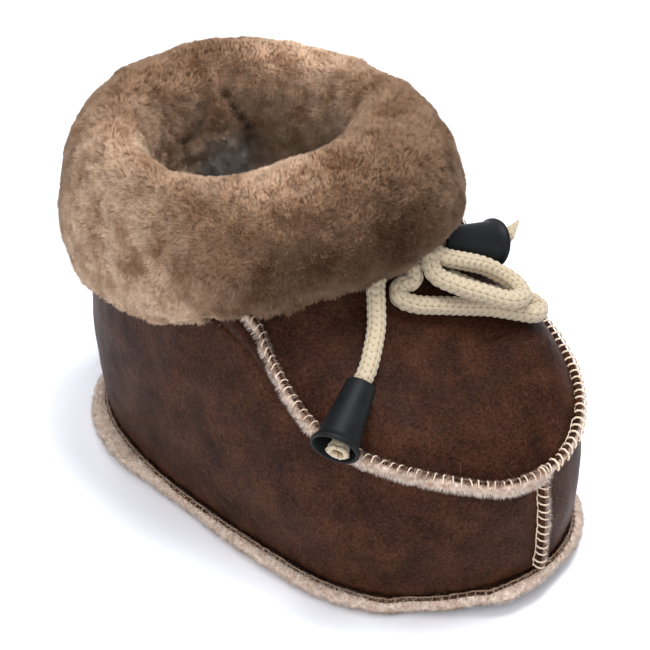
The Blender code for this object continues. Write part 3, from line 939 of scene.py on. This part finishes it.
def pile_tree(name):
    """Grows fibres out of a surface, denser where it is marked woolly, in leaning tufts with partings."""
    tree, given = new_tree(name, "Pile", Skin="Geometry", Fibre="Object", Fibres_per_mm2="Float",
                           Length_mm="Float", Tousle="Float", Tuft_mm="Float", Lie_flat="Float",
                           Parting="Float", Comb="Vector", Seed="Int", Finish="Material")

    def worked(formula, **known):
        """Everything known once some sums are done, each written as: result OPERATION terms, V_ for vectors."""
        for line in formula.strip().splitlines():
            result, how, *terms = line.split()
            vectors, slots, out = how.startswith("V_"), (0, 1), "Value"
            if vectors:
                slots, out = (0, "Scale" if how == "V_SCALE" else 1), "Value" if "DOT" in how else "Vector"
            values = [known[term] if term in known else float(term) for term in terms]
            kind = "ShaderNodeVectorMath" if vectors else "ShaderNodeMath"
            known[result] = add(tree, kind, dict(zip(slots, values)), out, operation=how.removeprefix("V_"))
        return known

    where = add(tree, "GeometryNodeInputPosition", {})
    woolly = add(tree, "GeometryNodeInputNamedAttribute", {"Name": "woolly"}, data_type="FLOAT")
    known = worked("""
        every MULTIPLY per_mm2 1e6
        density MULTIPLY every woolly
        scale DIVIDE 1000 tuft_mm
        wide MULTIPLY scale 0.45
    """, per_mm2=given["Fibres_per_mm2"], woolly=woolly, tuft_mm=given["Tuft_mm"])
    spots = tree.nodes.new("GeometryNodeDistributePointsOnFaces")
    give(spots, {"Mesh": given["Skin"], "Density": known["density"], "Seed": given["Seed"]})
    tuft = tree.nodes.new("ShaderNodeTexNoise")
    give(tuft, {"Vector": where, "Scale": known["scale"], "Detail": 2.0, "Roughness": 0.6})
    parted = add(tree, "ShaderNodeTexNoise",
                 {"Vector": where, "Scale": known["wide"], "Detail": 3.0, "Roughness": 0.6})
    seeded = {"Seed": given["Seed"]}
    strand = add(tree, "FunctionNodeRandomValue", seeded, 1, data_type="FLOAT")
    stray = add(tree, "FunctionNodeRandomValue", {0: (-0.17,) * 3, 1: (0.17,) * 3, **seeded},
                data_type="FLOAT_VECTOR")
    known = worked("""
        off SUBTRACT parted 0.47
        beside ABSOLUTE off
        tilt V_SUBTRACT tuft half
        tousled V_SCALE tilt tousle
        lean V_ADD tousled comb
        rise V_DOT_PRODUCT lean normal
        press MULTIPLY rise flat
        into V_SCALE normal press
        lying MULTIPLY flat 0.97
        upright SUBTRACT 1 lying
        along V_SUBTRACT lean into
        up V_SCALE normal upright
        nap V_ADD along up
        loose SUBTRACT 1 flat
        strays V_SCALE stray loose
        way V_ADD nap strays
        lie V_NORMALIZE nap
        own MULTIPLY strand 0.3
        shared MULTIPLY clump 0.7
        varied ADD own shared
        part ADD varied 0.5
        long_mm MULTIPLY part length_mm
        long MULTIPLY long_mm 0.001
    """, parted=parted, tuft=tuft.outputs["Color"], clump=tuft.outputs[0], half=(0.5, 0.5, 0.5), stray=stray,
        strand=strand, normal=spots.outputs["Normal"], tousle=given["Tousle"], comb=given["Comb"],
        flat=given["Lie_flat"], length_mm=given["Length_mm"])
    closed = add(tree, "ShaderNodeMapRange",
                 {"Value": known["beside"], "From Max": 0.035, "To Min": given["Parting"], "To Max": 1.0},
                 interpolation_type="SMOOTHSTEP")
    turned = add(tree, "FunctionNodeAlignRotationToVector", {"Vector": known["way"]}, axis="Z")
    spin = add(tree, "FunctionNodeRandomValue", {3: 2 * math.pi}, 1, data_type="FLOAT")
    about = add(tree, "FunctionNodeAxisAngleToRotation", {"Axis": UP, "Angle": spin})
    turned = add(tree, "FunctionNodeRotateRotation", {"Rotation": turned, "Rotate By": about},
                 rotation_space="LOCAL")
    scale = add(tree, "ShaderNodeMath", {0: known["long"], 1: closed}, operation="MULTIPLY")
    blade = add(tree, "GeometryNodeObjectInfo", {"Object": given["Fibre"]}, "Geometry")
    copies = add(tree, "GeometryNodeInstanceOnPoints",
                 {"Points": spots.outputs["Points"], "Instance": blade, "Rotation": turned, "Scale": scale})
    for label, value, kind in (("strand", strand, "FLOAT"), ("nap", known["lie"], "FLOAT_VECTOR")):
        copies = add(tree, "GeometryNodeStoreNamedAttribute",
                     {"Geometry": copies, "Name": label, "Value": value}, data_type=kind, domain="INSTANCE")
    return close_tree(tree, copies, given["Finish"])


def run_tree(name, tree, base, **values):
    """The tree's result on a base, as a mesh object of its own."""
    modifier = base.modifiers.new(tree.name, "NODES")
    modifier.node_group = tree
    for item in tree.interface.items_tree:
        key = item.name.lower().replace(" ", "_")
        if item.item_type == "SOCKET" and key in values:
            modifier[item.identifier] = values[key]
    data = bpy.data.meshes.new_from_object(base.evaluated_get(bpy.context.evaluated_depsgraph_get()))
    data.name = name
    base.modifiers.remove(modifier)
    return in_scene(name, data)


def fibre(name, width, route):
    """One wool fibre a unit long: a narrow blade through (sideways, up) stops, coming to a point."""
    points = [(side * width / 2, *stop) for stop in route[:-1] for side in (-1, 1)] + [(0.0, *route[-1])]
    faces = [(2 * i, 2 * i + 1, 2 * i + 3, 2 * i + 2) for i in range(len(route) - 2)]
    faces.append(tuple(range(len(points) - 3, len(points))))
    data = bpy.data.meshes.new(name)
    data.from_pydata(points, [], faces)
    made = in_scene(name, data)
    set_values(made, "tip", [point[2] for point in points])
    return made


def thread_bar(name, stops, thick, pale, slant=0.45):
    """One cast of thread over a seam, through (front, top) stops, slanting from one hole to the next."""
    last, sides = len(stops) - 1, 5
    knots = [Vector((slant * (2 * i / last - 1), front, top)) for i, (front, top) in enumerate(stops)]
    verts = []
    for point, (_, side, top) in zip(knots, frames_along(knots, Vector((1.0, 0.2, 0.0)))):
        for k in range(sides):
            turn = 2 * math.pi * k / sides
            verts.append((point + thick * round_about(turn, side, top)) * MM)
    bar = mesh_of(name, verts, grid_faces(len(knots), sides))
    set_values(bar, "raised", [pale] * len(verts))
    return bar


PILE = pile_tree("wool_pile")
STITCHES = instance_tree("cast_stitches")
CLIPPED = fibre("clipped_fibre", 0.23, ((0.0, 0.0), (0.25, 1.0)))
EDGE_FIBRE = fibre("edge_fibre", 0.13, ((0.0, 0.0), (0.3, 1.0)))
STRAY = fibre("stray_fibre", 0.007, ((0.0, 0.0), (0.07, 0.3), (0.20, 0.6), (0.42, 0.85), (0.6, 1.0)))


# The sharp fold down the back of the ankle opening, from the lip to the lining.
FoldStop = namedtuple("FoldStop", "across along height reach depth")
FOLD = table(
    FoldStop,
    (11.5, 123.0, 88.0, 3.6, -1.8), (12.6, 121.6, 84.0, 3.0, -2.6), (13.5, 120.2, 81.0, 2.4, -3.0),
    (14.4, 118.4, 78.0, 2.1, -3.2), (15.2, 116.6, 75.0, 2.0, -3.2), (16.0, 115.0, 72.0, 2.0, -3.2),
    (16.4, 114.2, 69.0, 2.2, -3.0), (16.8, 113.6, 66.0, 2.4, -2.8), (16.8, 113.2, 63.0, 2.6, -2.6),
)

# Painted light and shade on the cuff's wool, as soft patches by place and reach: darker (minus) on its front,
# which lies in shade, and paler (plus) where light falls on its top, low on its right-hand side, and inside the
# ankle opening.
Patch = namedtuple("Patch", "across along height reach amount")
PAINTED_LIGHT_PATCHES = table(
    Patch,
    (-5.0, 44.0, 88.0, 14.0, -0.25), (-26.0, 56.0, 82.0, 9.0, -0.25), (-16.0, 46.0, 78.0, 9.0, -0.12),
    (-30.0, 64.0, 70.0, 9.0, -0.12), (-40.0, 100.0, 60.0, 25.0, 1.0), (-29.0, 119.0, 87.0, 15.0, 0.26),
    (30.0, 108.0, 92.0, 15.0, 0.45), (-18.0, 72.0, 97.0, 14.0, 0.34), (0.0, 97.0, 62.0, 34.0, 0.5),
)

# Low in the ankle opening the wool is undyed and grey-white.
Undyed = namedtuple("Undyed", "across along height reach")
UNDYED = Undyed(10.5, 117.0, 61.5, 9.0)

# How pale the cuff's wool is painted away from its patches of painted light and shade.
PLAIN_PAINTED_TONE = 0.365
UNDYED_MOST = 0.85
FOLD_SHADE = 0.75          # how far the fold's painted shade reaches, of the fold's own reach
FOLD_WOOL = 0.15           # how much of the wool grows at the fold's bottom


def nearness(at, stop, reach):
    """How near each place is to a stop, in its reach, squared."""
    return ((at - stop[:3]) ** 2).sum(axis=1) / reach**2


def painted_tones(at):
    """How pale the wool is painted at each place, 0 to 1: its painted light and shade."""
    patches = sum(patch.amount * np.exp(-nearness(at, patch, patch.reach)) for patch in PAINTED_LIGHT_PATCHES)
    return np.clip(PLAIN_PAINTED_TONE + patches, 0.0, 1.0)


def hollows(at):
    """How much painted shade each place takes from the fold, 0 to 1: hardly any light comes out of its bottom."""
    return np.max([np.exp(-nearness(at, stop, FOLD_SHADE * stop.reach)) for stop in FOLD[2:]], axis=0)


def pile(name, skin, material, per_mm2, length, tousle=1.2, tuft=3.0, comb=(0.0, 0.0, 0.0), seed=1,
         blade=CLIPPED, flat=0.0, parting=1.0, toned=False):
    """Wool grown on a skin, shaded by the way it lies and not by its single fibres."""
    if "woolly" not in skin.data.attributes:
        set_values(skin, "woolly", [1.0] * len(skin.data.vertices))
    made = run_tree(name, PILE, skin, fibre=blade, fibres_per_mm2=per_mm2, length_mm=length, tousle=tousle,
                    tuft_mm=tuft, lie_flat=flat, parting=parting, comb=comb, seed=seed, finish=material)
    nap = np.empty(len(made.data.vertices) * 3, dtype=np.float32)
    places = np.empty_like(nap)
    made.data.attributes["nap"].data.foreach_get("vector", nap)
    made.data.shade_smooth()
    made.data.normals_split_custom_set_from_vertices(nap.reshape(-1, 3))
    made.data.vertices.foreach_get("co", places)
    places[2::3] = np.maximum(places[2::3], 0.0)
    made.data.vertices.foreach_set("co", places)
    at = places.reshape(-1, 3) / MM + (0.0, TOTAL_LENGTH / 2, 0.0)
    # The cuff's wool takes its painted light and shade, its undyed grey-white place, and the painted shade of the
    # fold.
    set_values(made, "tone", painted_tones(at) if toned else np.ones(len(at)))
    if toned:
        set_values(made, "undyed", UNDYED_MOST * np.exp(-nearness(at, UNDYED, UNDYED.reach) ** 2))
        # Painted shade deep in the fold.
        set_values(made, "hollow", hollows(at))
    return made


# How the dye fades across a seam's wool: which way, between which distances, and how strong it is.
Soak = namedtuple("Soak", "front top start stop amount")
PLUG_SOAK = Soak(1.0, 0.0, -0.2, 1.1, 0.8)
SOLE_SOAK = Soak(0.2, 0.9, -1.0, 0.9, 0.5)

# A seam's own section: its leather edge, wool and foot thread as ovals between two fronts and two tops, and its
# cast of thread through (front, top) stops; then the length of its fuzz, its thread's thickness and paleness, and
# its dye.
SeamShape = namedtuple("SeamShape", "edge wool foot cast fuzz thread pale soak")
PLUG_RIGHT, PLUG_LEFT, SOLE_SHAPE, TOE_SHAPE = table(
    SeamShape,
    ((-1.1, -0.1, -1.0, 1.9), (-0.5, 1.7, -1.2, 1.9), (-1.5, -1.2, 0.0, 0.3),
     ((-1.25, 0.2), (-1.25, 1.2), (-0.9, 1.95), (-0.1, 2.3), (0.6, 2.1)), 1.3, 0.17, 0.5, PLUG_SOAK),
    ((-1.1, -0.1, -1.0, 1.9), (-0.5, 1.2, -1.2, 1.6), (-1.5, -1.2, 0.0, 0.3),
     ((-1.25, 0.2), (-1.3, 1.3), (-0.8, 2.1), (0.2, 2.3), (1.1, 1.9), (1.5, 1.2)), 0.8, 0.26, 0.8, PLUG_SOAK),
    ((-1.1, -0.2, -1.0, 0.9), (-0.9, 2.4, -0.8, 1.4), (-1.5, -1.2, 0.0, 0.3),
     ((-1.15, -0.1), (-1.2, 0.5), (-0.95, 1.05), (-0.4, 1.4)), 0.85, 0.13, 0.08, SOLE_SOAK),
    ((-1.2, -0.2, -1.0, 1.8), (-0.4, 1.3, -1.0, 1.7), (-1.6, -1.25, 0.0, 0.3),
     ((-1.3, 0.1), (-1.25, 1.2), (-0.6, 2.0), (0.3, 2.1), (0.9, 1.7)), 1.0, 0.22, 0.6, PLUG_SOAK),
)
FUZZ_PER_MM2 = 22.0
SEAM_STEP, THREAD_STEP = 0.8, 0.6
EDGE_WOBBLE, WOOL_WOBBLE, THREAD_WOBBLE = 0.12, 0.2, 0.3
UNEVEN_DYE = table(Wave, (1.6, 0.9), (5.0, 0.5))
EDGE_CLUMPS = table(Wave, (2.6, 1.5), (1.1, 0.7))


def dye(thing, spine, soak):
    """The brown dye has soaked into the wool next to the leather, unevenly, and left its outer edge pale."""
    finder = KDTree(len(spine.points))
    for i, point in enumerate(spine.points):
        finder.insert(point, i)
    finder.balance()
    soaked = []
    for vertex in thing.data.vertices:
        at = slipper_point(vertex.co)
        point, i, _ = finder.find(at)
        out = (at - point).dot(soak.front * spine.fronts[i] + soak.top * spine.tops[i])
        out += waves(at, UNEVEN_DYE)
        soaked.append(soak.amount * (1.0 - smooth_step(out, soak.start, soak.stop)))
    set_values(thing, "dyed", soaked)


def stitch_holes(name, spine, closed):
    """A point for each stitch, with its front and top."""
    holes = mesh_of(name, [place(p) for p in spine.points[: -1 if closed else None]], [])
    for label, values in (("front", spine.fronts), ("top", spine.tops)):
        layer = holes.data.attributes.new(label, "FLOAT_VECTOR", "POINT")
        layer.data.foreach_set("vector", np.array(values[: len(layer.data)], dtype=np.float32).ravel())
    return holes


def overlocked(name, spine_at, shape, seed, woolly, closed=False, comb=(0.0, 0.0, -0.3), widen=None):
    """The whole of one seam: leather edge, wool, casts of thread, and the line of thread at its foot."""
    fine = spine_at(SEAM_STEP)
    edges = swept(name + "_edge", fine, oval(*shape.edge), LEATHER_SKIN, closed, EDGE_WOBBLE)
    wool = swept(name + "_wool", fine, oval(*shape.wool, 18), EDGE_SKIN, closed, WOOL_WOBBLE, widen)
    set_values(wool, "woolly", [woolly(v.co / MM) for v in wool.data.vertices])
    holes = stitch_holes(name + "_holes", spine_at(STITCH_PITCH), closed)
    bar = thread_bar(name + "_bar", shape.cast, shape.thread, shape.pale)
    casts = run_tree(name + "_thread", STITCHES, holes, stitch=bar, thickness=1.0, unevenness=0.22, seed=seed,
                     finish=THREAD)
    foot = swept(name + "_foot_thread", spine_at(THREAD_STEP), oval(*shape.foot, 8), THREAD, closed,
                 THREAD_WOBBLE)
    set_values(foot, "raised", [0.5 * shape.pale] * len(foot.data.vertices))
    fuzz = pile(name + "_fuzz", wool, EDGE_PILE, FUZZ_PER_MM2, shape.fuzz, 1.5, 2.0, comb, seed, EDGE_FIBRE)
    for thing in (wool, fuzz):
        dye(thing, fine, shape.soak)
    seated(edges, "brown_leather")
    for thing in (wool, join(name + "_thread", [casts, foot]), fuzz):
        seated(thing, "pale_wool")
    for spare in (holes, bar):
        bpy.data.objects.remove(spare, do_unlink=True)


def tufted(point, least=0.3):
    """Wool stands in clumps along a cut edge, with thin places between."""
    return min(1.0, max(least, waves(point, EDGE_CLUMPS, 0.6)))


def sole_woolly(point):
    """The sole's wool is thick along the sides and thinner round the toe."""
    return tufted(point, 0.6) * (0.6 + 0.4 * smooth_step(point.y + TOTAL_LENGTH / 2, 8.0, 34.0))


def thinly(point):
    """The left-hand seam's thread covers most of its wool."""
    return 0.12


overlocked("plug_seam_right", right_plug_spine, PLUG_RIGHT, 3, tufted)
overlocked("plug_seam_left", left_plug_spine, PLUG_LEFT, 4, thinly)
overlocked("toe_seam", toe_spine, TOE_SHAPE, 5, tufted, comb=(0.3, -0.2, 0.0))
overlocked("sole_seam", sole_spine, SOLE_SHAPE, 7, sole_woolly, closed=True, widen=sole_wide)


# ---- sole, insole and lining ----
def even_reach(angle):
    """A plate with the same edge all round."""
    return 0.0


def plate(name, outline, base, profile, material, reach=even_reach):
    """A flat pad with its edge through a profile of (grown by, height), cut in where its reach is less."""
    verts = []
    for by, height in profile:
        for i in range(COLUMNS):
            angle = 2 * math.pi * i / COLUMNS
            across, along = plan_point(grown(outline, by + min(0.0, reach(angle))), angle)
            verts.append(Vector((across, along, base + height + sole_lift(along))))
    faces = grid_faces(len(profile), COLUMNS)
    half = COLUMNS // 2
    strips = [(0, 1, COLUMNS - 1), *[(i, i + 1, COLUMNS - i - 1, COLUMNS - i) for i in range(1, half - 1)],
              (half - 1, half, half + 1)]
    for ring, order in ((0, 1), (len(verts) - COLUMNS, -1)):
        faces += [tuple(ring + v for v in strip)[::-order] for strip in strips]
    return facing_out(mesh_object(name, verts, faces, material))


SOLE_PROFILE = ((-4.4, 0.0), (-3.5, 0.15), (-2.9, 0.7), (-2.8, 1.4), (-3.2, 1.9), (-5.0, 2.0), (-5.2, 4.8))
outsole = plate("outsole", SOLE_EDGE, 0.0, SOLE_PROFILE, LEATHER_SKIN, sole_reach)
seated(outsole, "brown_leather", "sole")

inside_line = grown(wall_line(), -WALL - 2 * GAP)
PAD_PROFILE = ((-1.2, 0.0), (-0.3, 0.5), (0.0, 2.0), (-0.4, 3.2), (-1.4, 3.8), (-6.0, 3.7), (-14.0, 3.4))
insole = plate("insole_pad", inside_line, SOLE_THICK + GAP, PAD_PROFILE, FLOOR_SKIN)
insole_wool = pile("insole_wool", insole, FLOOR_PILE, 1.4, 3.0, 1.6, 5.0, seed=11, blade=EDGE_FIBRE)
seated(insole, "pale_wool", "insole")
seated(insole_wool, "pale_wool")


LINING_ROWS = 36
LINING_FULL = 5.0          # how much further in the wool stands over most of the side band
LINING_SINK = 0.4          # how far the wool's skin lies in the wall
LINING_LUMP = 6.0


def lining_sheet():
    """The wool face inside the upper, from the insole to the ankle's top edge."""
    verts = []
    for row in range(LINING_ROWS + 1):
        part = 2 * row / LINING_ROWS
        for i in range(COLUMNS // 2):
            angle = 4 * math.pi * i / COLUMNS
            surface, at = (band_point, part) if part < 1 else (top_point, part - 1)
            full = LINING_FULL * smooth_step(part, 0.0, 0.4) * (1.0 - smooth_step(part, 1.05, 1.45))
            normal = side_normal(surface, angle, at)
            point = surface(angle, at) - (WALL - LINING_SINK + full) * normal
            verts.append(point + normal * (0.7 + 0.2 * full) * noise.noise(point / LINING_LUMP))
    faces = [tuple(reversed(f)) for f in grid_faces(LINING_ROWS + 1, COLUMNS // 2)]
    return mesh_object("wool_lining", verts, faces, FLOOR_SKIN)


def bare_under_cuff(point):
    """How much wool the lining grows at a place: none where the cuff's inner leg covers it."""
    covered = table_value(RIM_HEIGHTS, point.y + TOTAL_LENGTH / 2) - CUFF_LEG
    return 1.0 - smooth_step(point.z, covered - 4.0, covered + 0.5)


lining = lining_sheet()
set_values(lining, "woolly", [bare_under_cuff(v.co / MM) for v in lining.data.vertices])
lining_wool = pile("lining_wool", lining, FLOOR_PILE, 1.4, 3.0, 1.5, 4.0, (0.0, 0.0, 0.2), 13, EDGE_FIBRE)
for piece in (lining, lining_wool):
    seated(piece, "pale_wool")


# ---- wool cuff ----
CUFF_STEPS = 6             # up its hidden face
RIM_GAP = 1.2
CUFF_COLUMNS = 320
FACE_ROWS = 72
PILE_DEPTH = 1.1           # the skin of the cuff lies this far under the tips of its wool
HEM_ROWS = 32              # of the face rows, drawn down to the hem
FADE_IN, FADE_OUT = 7, 4   # rows at the face's two sides where its relief starts and stops
CALM = 0.75                # how much less relief its inner leg has at the shoe's sides
CALM_SIDES, CALM_ROWS = (18.0, 26.0), (12.0, 27.0)
CUFF_WAVES = table(Wave, (11.0, 1.1), (5.0, 0.7), (2.2, 0.35))
GapRow = namedtuple("GapRow", "along gap")
HIDDEN_GAPS = table(GapRow, (55.0, 1.3), (68.0, 3.2), (88.0, 1.3))
CuffRow = namedtuple("CuffRow", "across up")
CUFF_FACE = table(
    CuffRow,
    (0.00, 0.50), (0.06, 0.76), (0.20, 0.94), (0.42, 1.00), (0.66, 0.94), (0.87, 0.76), (1.00, 0.46),
    (0.96, 0.20), (0.82, 0.04),
)

# Soft hollows (minus) and swellings (plus) in the wool, by place, reach and depth.
Dimple = namedtuple("Dimple", "across along height reach depth")
DIMPLES = table(
    Dimple,
    (4.0, 123.0, 84.0, 5.0, 1.6), (20.0, 115.0, 82.0, 5.0, 1.4), (-20.0, 56.0, 82.0, 9.0, -1.2),
    (8.0, 44.0, 86.0, 12.0, 1.2), (-36.0, 72.0, 78.0, 10.0, 1.0), (-40.0, 100.0, 70.0, 9.0, -1.0),
    (-14.0, 128.0, 86.0, 9.0, 1.2), (22.0, 122.0, 86.0, 9.0, 1.2), (34.0, 62.0, 84.0, 9.0, -1.0),
    (0.0, 146.0, 70.0, 14.0, 1.0), (40.0, 110.0, 74.0, 10.0, -1.0),
)

# How low the wool hangs over the leather, by how far round from the front.
HemRow = namedtuple("HemRow", "degrees height")
HEM = table(
    HemRow,
    (0.0, 68.2), (14.0, 67.9), (23.0, 66.5), (30.0, 64.8), (37.0, 63.0), (43.0, 62.4), (48.0, 63.8),
    (59.0, 62.6), (69.0, 58.6), (85.0, 51.0), (103.0, 49.1), (119.0, 46.7), (130.0, 44.9), (180.0, 44.0),
)

CLEAR = 1.0                # from the leather to the wool's skin
HEM_OFF = 0.74             # how much higher the hem is for each millimetre it stands off the leather
HEM_OFF_MOST = 8.0
HEM_SPARE = 1.0
BOW_LIFT = 2.5             # the bow's loops hold the hem up, left of the front
BOW_LIFT_AT, BOW_LIFT_REACH = 12.0, 14.0       # degrees


def clear_of_leather(point):
    """The point, or the nearest one that is clear of the leather."""
    spot, normal, _, away = LEATHER_FACE.find_nearest(point)
    depth = (point - spot).dot(normal)
    return point + (CLEAR - depth) * normal if depth < CLEAR and away < 14.0 else point


def hem_drop(edge):
    """How far the cuff's lowest edge comes down at one place."""
    degrees = math.degrees(math.atan2(abs(edge.x), RIM_LINE.widest - edge.y))
    spot, _, _, _ = LEATHER_FACE.find_nearest(edge)
    proud = (edge - spot).xy.length
    wanted = table_value(HEM, degrees) + HEM_OFF * min(proud, HEM_OFF_MOST) + HEM_SPARE
    if edge.x > 0.0:
        wanted += BOW_LIFT * math.exp(-(((degrees - BOW_LIFT_AT) / BOW_LIFT_REACH) ** 2))
    return max(0.0, edge.z - wanted)


def skin_at(angle, height):
    """The point on the leather's outside at a height."""
    low, high = 0.0, 2.0
    for _ in range(24):
        part = (low + high) / 2
        point = band_point(angle, part) if part < 1 else top_point(angle, part - 1)
        if point.z < height:
            low = part
        else:
            high = part
    return point


def off_skin(angle, height):
    """A point of the cuff's hidden face, a gap off the leather."""
    skin = skin_at(angle, height)
    across, along = plan_point(RIM_LINE, angle)
    reach = RIM_LINE.widest - RIM_LINE.toe
    out = Vector((across / RIM_LINE.half**2, (along - RIM_LINE.widest) / reach**2, 0.0)).normalized()
    return skin + table_value(HIDDEN_GAPS, skin.y) * out


def cuff_section(angle):
    """One turn round the cuff's cane-shaped section: points, and which of them show."""
    along = plan_point(CUFF_LINE, angle)[1]
    edge, top = table_value(CUFF_EDGES, along), table_value(CUFF_TOPS, along)
    rim = table_value(RIM_HEIGHTS, plan_point(RIM_LINE, angle)[1])
    foot = max(edge, table_value(CUFF_EDGES, skin_at(angle, edge).y)) + 1.0
    head = rim - RIM_GAP
    points = [off_skin(angle, foot + (head - foot) * step / CUFF_STEPS) for step in range(CUFF_STEPS + 1)]
    inside = -WALL - RIM_GAP
    for by, height in ((RIM_GAP, rim + RIM_GAP), (inside, rim + RIM_GAP), (inside, rim - CUFF_LEG)):
        points.append(Vector((*plan_point(grown(RIM_LINE, by), angle), height)))
    inner = Vector((*plan_point(THROAT_LINE, angle), 0.0))
    outer = Vector((*plan_point(CUFF_LINE, angle), 0.0))
    hidden = len(points)
    face = [inner.lerp(outer, 0.04) + Vector((0.0, 0.0, rim - CUFF_LEG + 1.0))]
    face += [inner.lerp(outer, row.across) + (edge + row.up * (top - edge)) * UP for row in CUFF_FACE]
    smooth, _ = smooth_route(face, 0.5)
    last = FACE_ROWS - 1
    return points + [smooth[round(k * (len(smooth) - 1) / last)] for k in range(FACE_ROWS)], hidden


def build_cuff():
    """The cuff's skin, and a test of whether one of its faces shows."""
    sections = [cuff_section(2 * math.pi * i / CUFF_COLUMNS) for i in range(CUFF_COLUMNS)]
    hidden = sections[0][1]
    rows = np.array([[tuple(p) for p in points] for points, _ in sections])
    count, size = rows.shape[:2]
    round_it = np.roll(rows, -1, axis=0) - np.roll(rows, 1, axis=0)
    over = np.roll(rows, -1, axis=1) - np.roll(rows, 1, axis=1)
    normals = np.cross(over, round_it)
    normals /= np.maximum(np.linalg.norm(normals, axis=2, keepdims=True), 1e-9)
    if normals[:, hidden + FACE_ROWS // 2, 2].mean() < 0:
        normals = -normals
    verts = []
    for i in range(count):
        drop = hem_drop(Vector(rows[i, -1]))
        verts += [Vector(point) for point in rows[i, :hidden]]
        for j in range(hidden, size):
            point, normal = Vector(rows[i, j]), Vector(normals[i, j])
            show = min(1.0, (j - hidden + 1) / FADE_IN, (size - j) / FADE_OUT)
            push = waves(point, CUFF_WAVES, -PILE_DEPTH)
            for dimple in (*DIMPLES, *FOLD):
                away = (point - Vector(dimple[:3])).length / dimple.reach
                push += dimple.depth * math.exp(-away * away)
            calm = CALM * smooth_step(abs(point.x), *CALM_SIDES) * (1.0 - smooth_step(j - hidden, *CALM_ROWS))
            point = point + show * push * (1.0 - calm) * normal
            point.z -= drop * smooth_step(j, size - HEM_ROWS, size - 1) * (1.0 + 0.3 * noise.noise(point / 4.0))
            verts.append(clear_of_leather(point) if j > size - HEM_ROWS + 6 else point)
    skin = mesh_object("cuff_skin", verts, grid_faces(count, size, round_rows=True), CUFF_SKIN)
    # The skin that shows in the fold takes the fold's painted shade too.
    set_values(skin, "hollow", hollows(np.array([tuple(v) for v in verts])))
    return skin, lambda index: index % size >= hidden - 1


def face_patch(source, keep):
    """The faces of a mesh that keep() picks by their centre and number, to grow wool on."""
    data = source.data
    faces = [tuple(p.vertices) for p in data.polygons if keep(p.center, p.index)]
    used = sorted({v for f in faces for v in f})
    lookup = {v: k for k, v in enumerate(used)}
    made = bpy.data.meshes.new("patch")
    made.from_pydata([data.vertices[v].co[:] for v in used], [], [[lookup[v] for v in f] for f in faces])
    return in_scene("patch", made)


def in_fold(spot):
    """How much wool grows at a place of the cuff: hardly any at the bottom of the fold."""
    near = min((slipper_point(spot) - Vector(stop[:3])).length / stop.reach for stop in FOLD)
    return FOLD_WOOL + (1.0 - FOLD_WOOL) * smooth_step(near, 0.6, 1.6)


# The cuff's wool is four pieces, parted across and along the slipper.
CUFF_PARTING = 0.012       # metres behind the middle
cuff, showing = build_cuff()
bpy.context.view_layer.update()
seated(cuff, "tan_wool", "collar")
for seed, (end, side) in enumerate(itertools.product(("front", "back"), ("right", "left")), 21):
    patch = face_patch(cuff, lambda centre, index: (
        showing(index) and (centre.y < CUFF_PARTING) == (end == "front") and (centre.x < 0.0) == (side == "right")
    ))
    set_values(patch, "woolly", [in_fold(v.co) for v in patch.data.vertices])
    wool = pile(f"cuff_wool_{end}_{side}", patch, CUFF_PILE, 25.0, 1.6, 1.3, 3.0, (0.0, 0.0, -0.15), seed,
                parting=0.55, toned=True)
    bpy.data.objects.remove(patch, do_unlink=True)
    seated(wool, "tan_wool")


# ---- stray hairs on the leather ----
for seed, panel in ((31, side_band), (32, vamp)):
    patch = face_patch(panel, lambda centre, index: index < face_count(panel))
    hairs = pile(panel.name + "_stray_hairs", patch, STRAY_HAIR, 0.08, 4.5, 3.0, 7.0, seed=seed, blade=STRAY,
                 flat=1.0)
    bpy.data.objects.remove(patch, do_unlink=True)
    seated(hairs, "pale_wool")

for spare in (CLIPPED, EDGE_FIBRE, STRAY):
    bpy.data.objects.remove(spare, do_unlink=True)


# ---- floor and light ----
FLOOR_SIZE = 3000.0
Light = namedtuple("Light", "name across along height size watts")


def build_stage():
    """A plain matt paper floor under a pale sky, with soft light from above, from the left and from behind."""
    corners = [(x * FLOOR_SIZE, y * FLOOR_SIZE, -0.05) for x, y in ((-1, -1), (1, -1), (1, 1), (-1, 1))]
    paper = finish("paper_floor", (Shade("", ((0.0, "#f4f5f8"),)),), specular=0.5)
    mesh_object("floor", corners, [(0, 1, 2, 3)], paper)
    world = bpy.data.worlds.new("studio")
    world.use_nodes = True
    give(world.node_tree.nodes["Background"], {"Color": linear("#eff2fc"), "Strength": 0.8})
    bpy.context.scene.world = world
    for light in table(
        Light,
        ("key", 150.0, 30.0, 1000.0, 440.0, 11.0),
        ("fill", -680.0, -350.0, 500.0, 800.0, 4.6),
        ("rim", 300.0, 800.0, 600.0, 500.0, 3.0),
    ):
        data = bpy.data.lights.new(light.name, "AREA")
        data.size = light.size * MM
        data.energy = light.watts
        lamp = in_scene(light.name, data)
        lamp.location = place(light[1:4])
        lamp.rotation_euler = (lamp.location - place((0.0, 70.0, 40.0))).to_track_quat("Z", "Y").to_euler()


build_stage()
bpy.context.scene.view_settings.view_transform = "Standard"
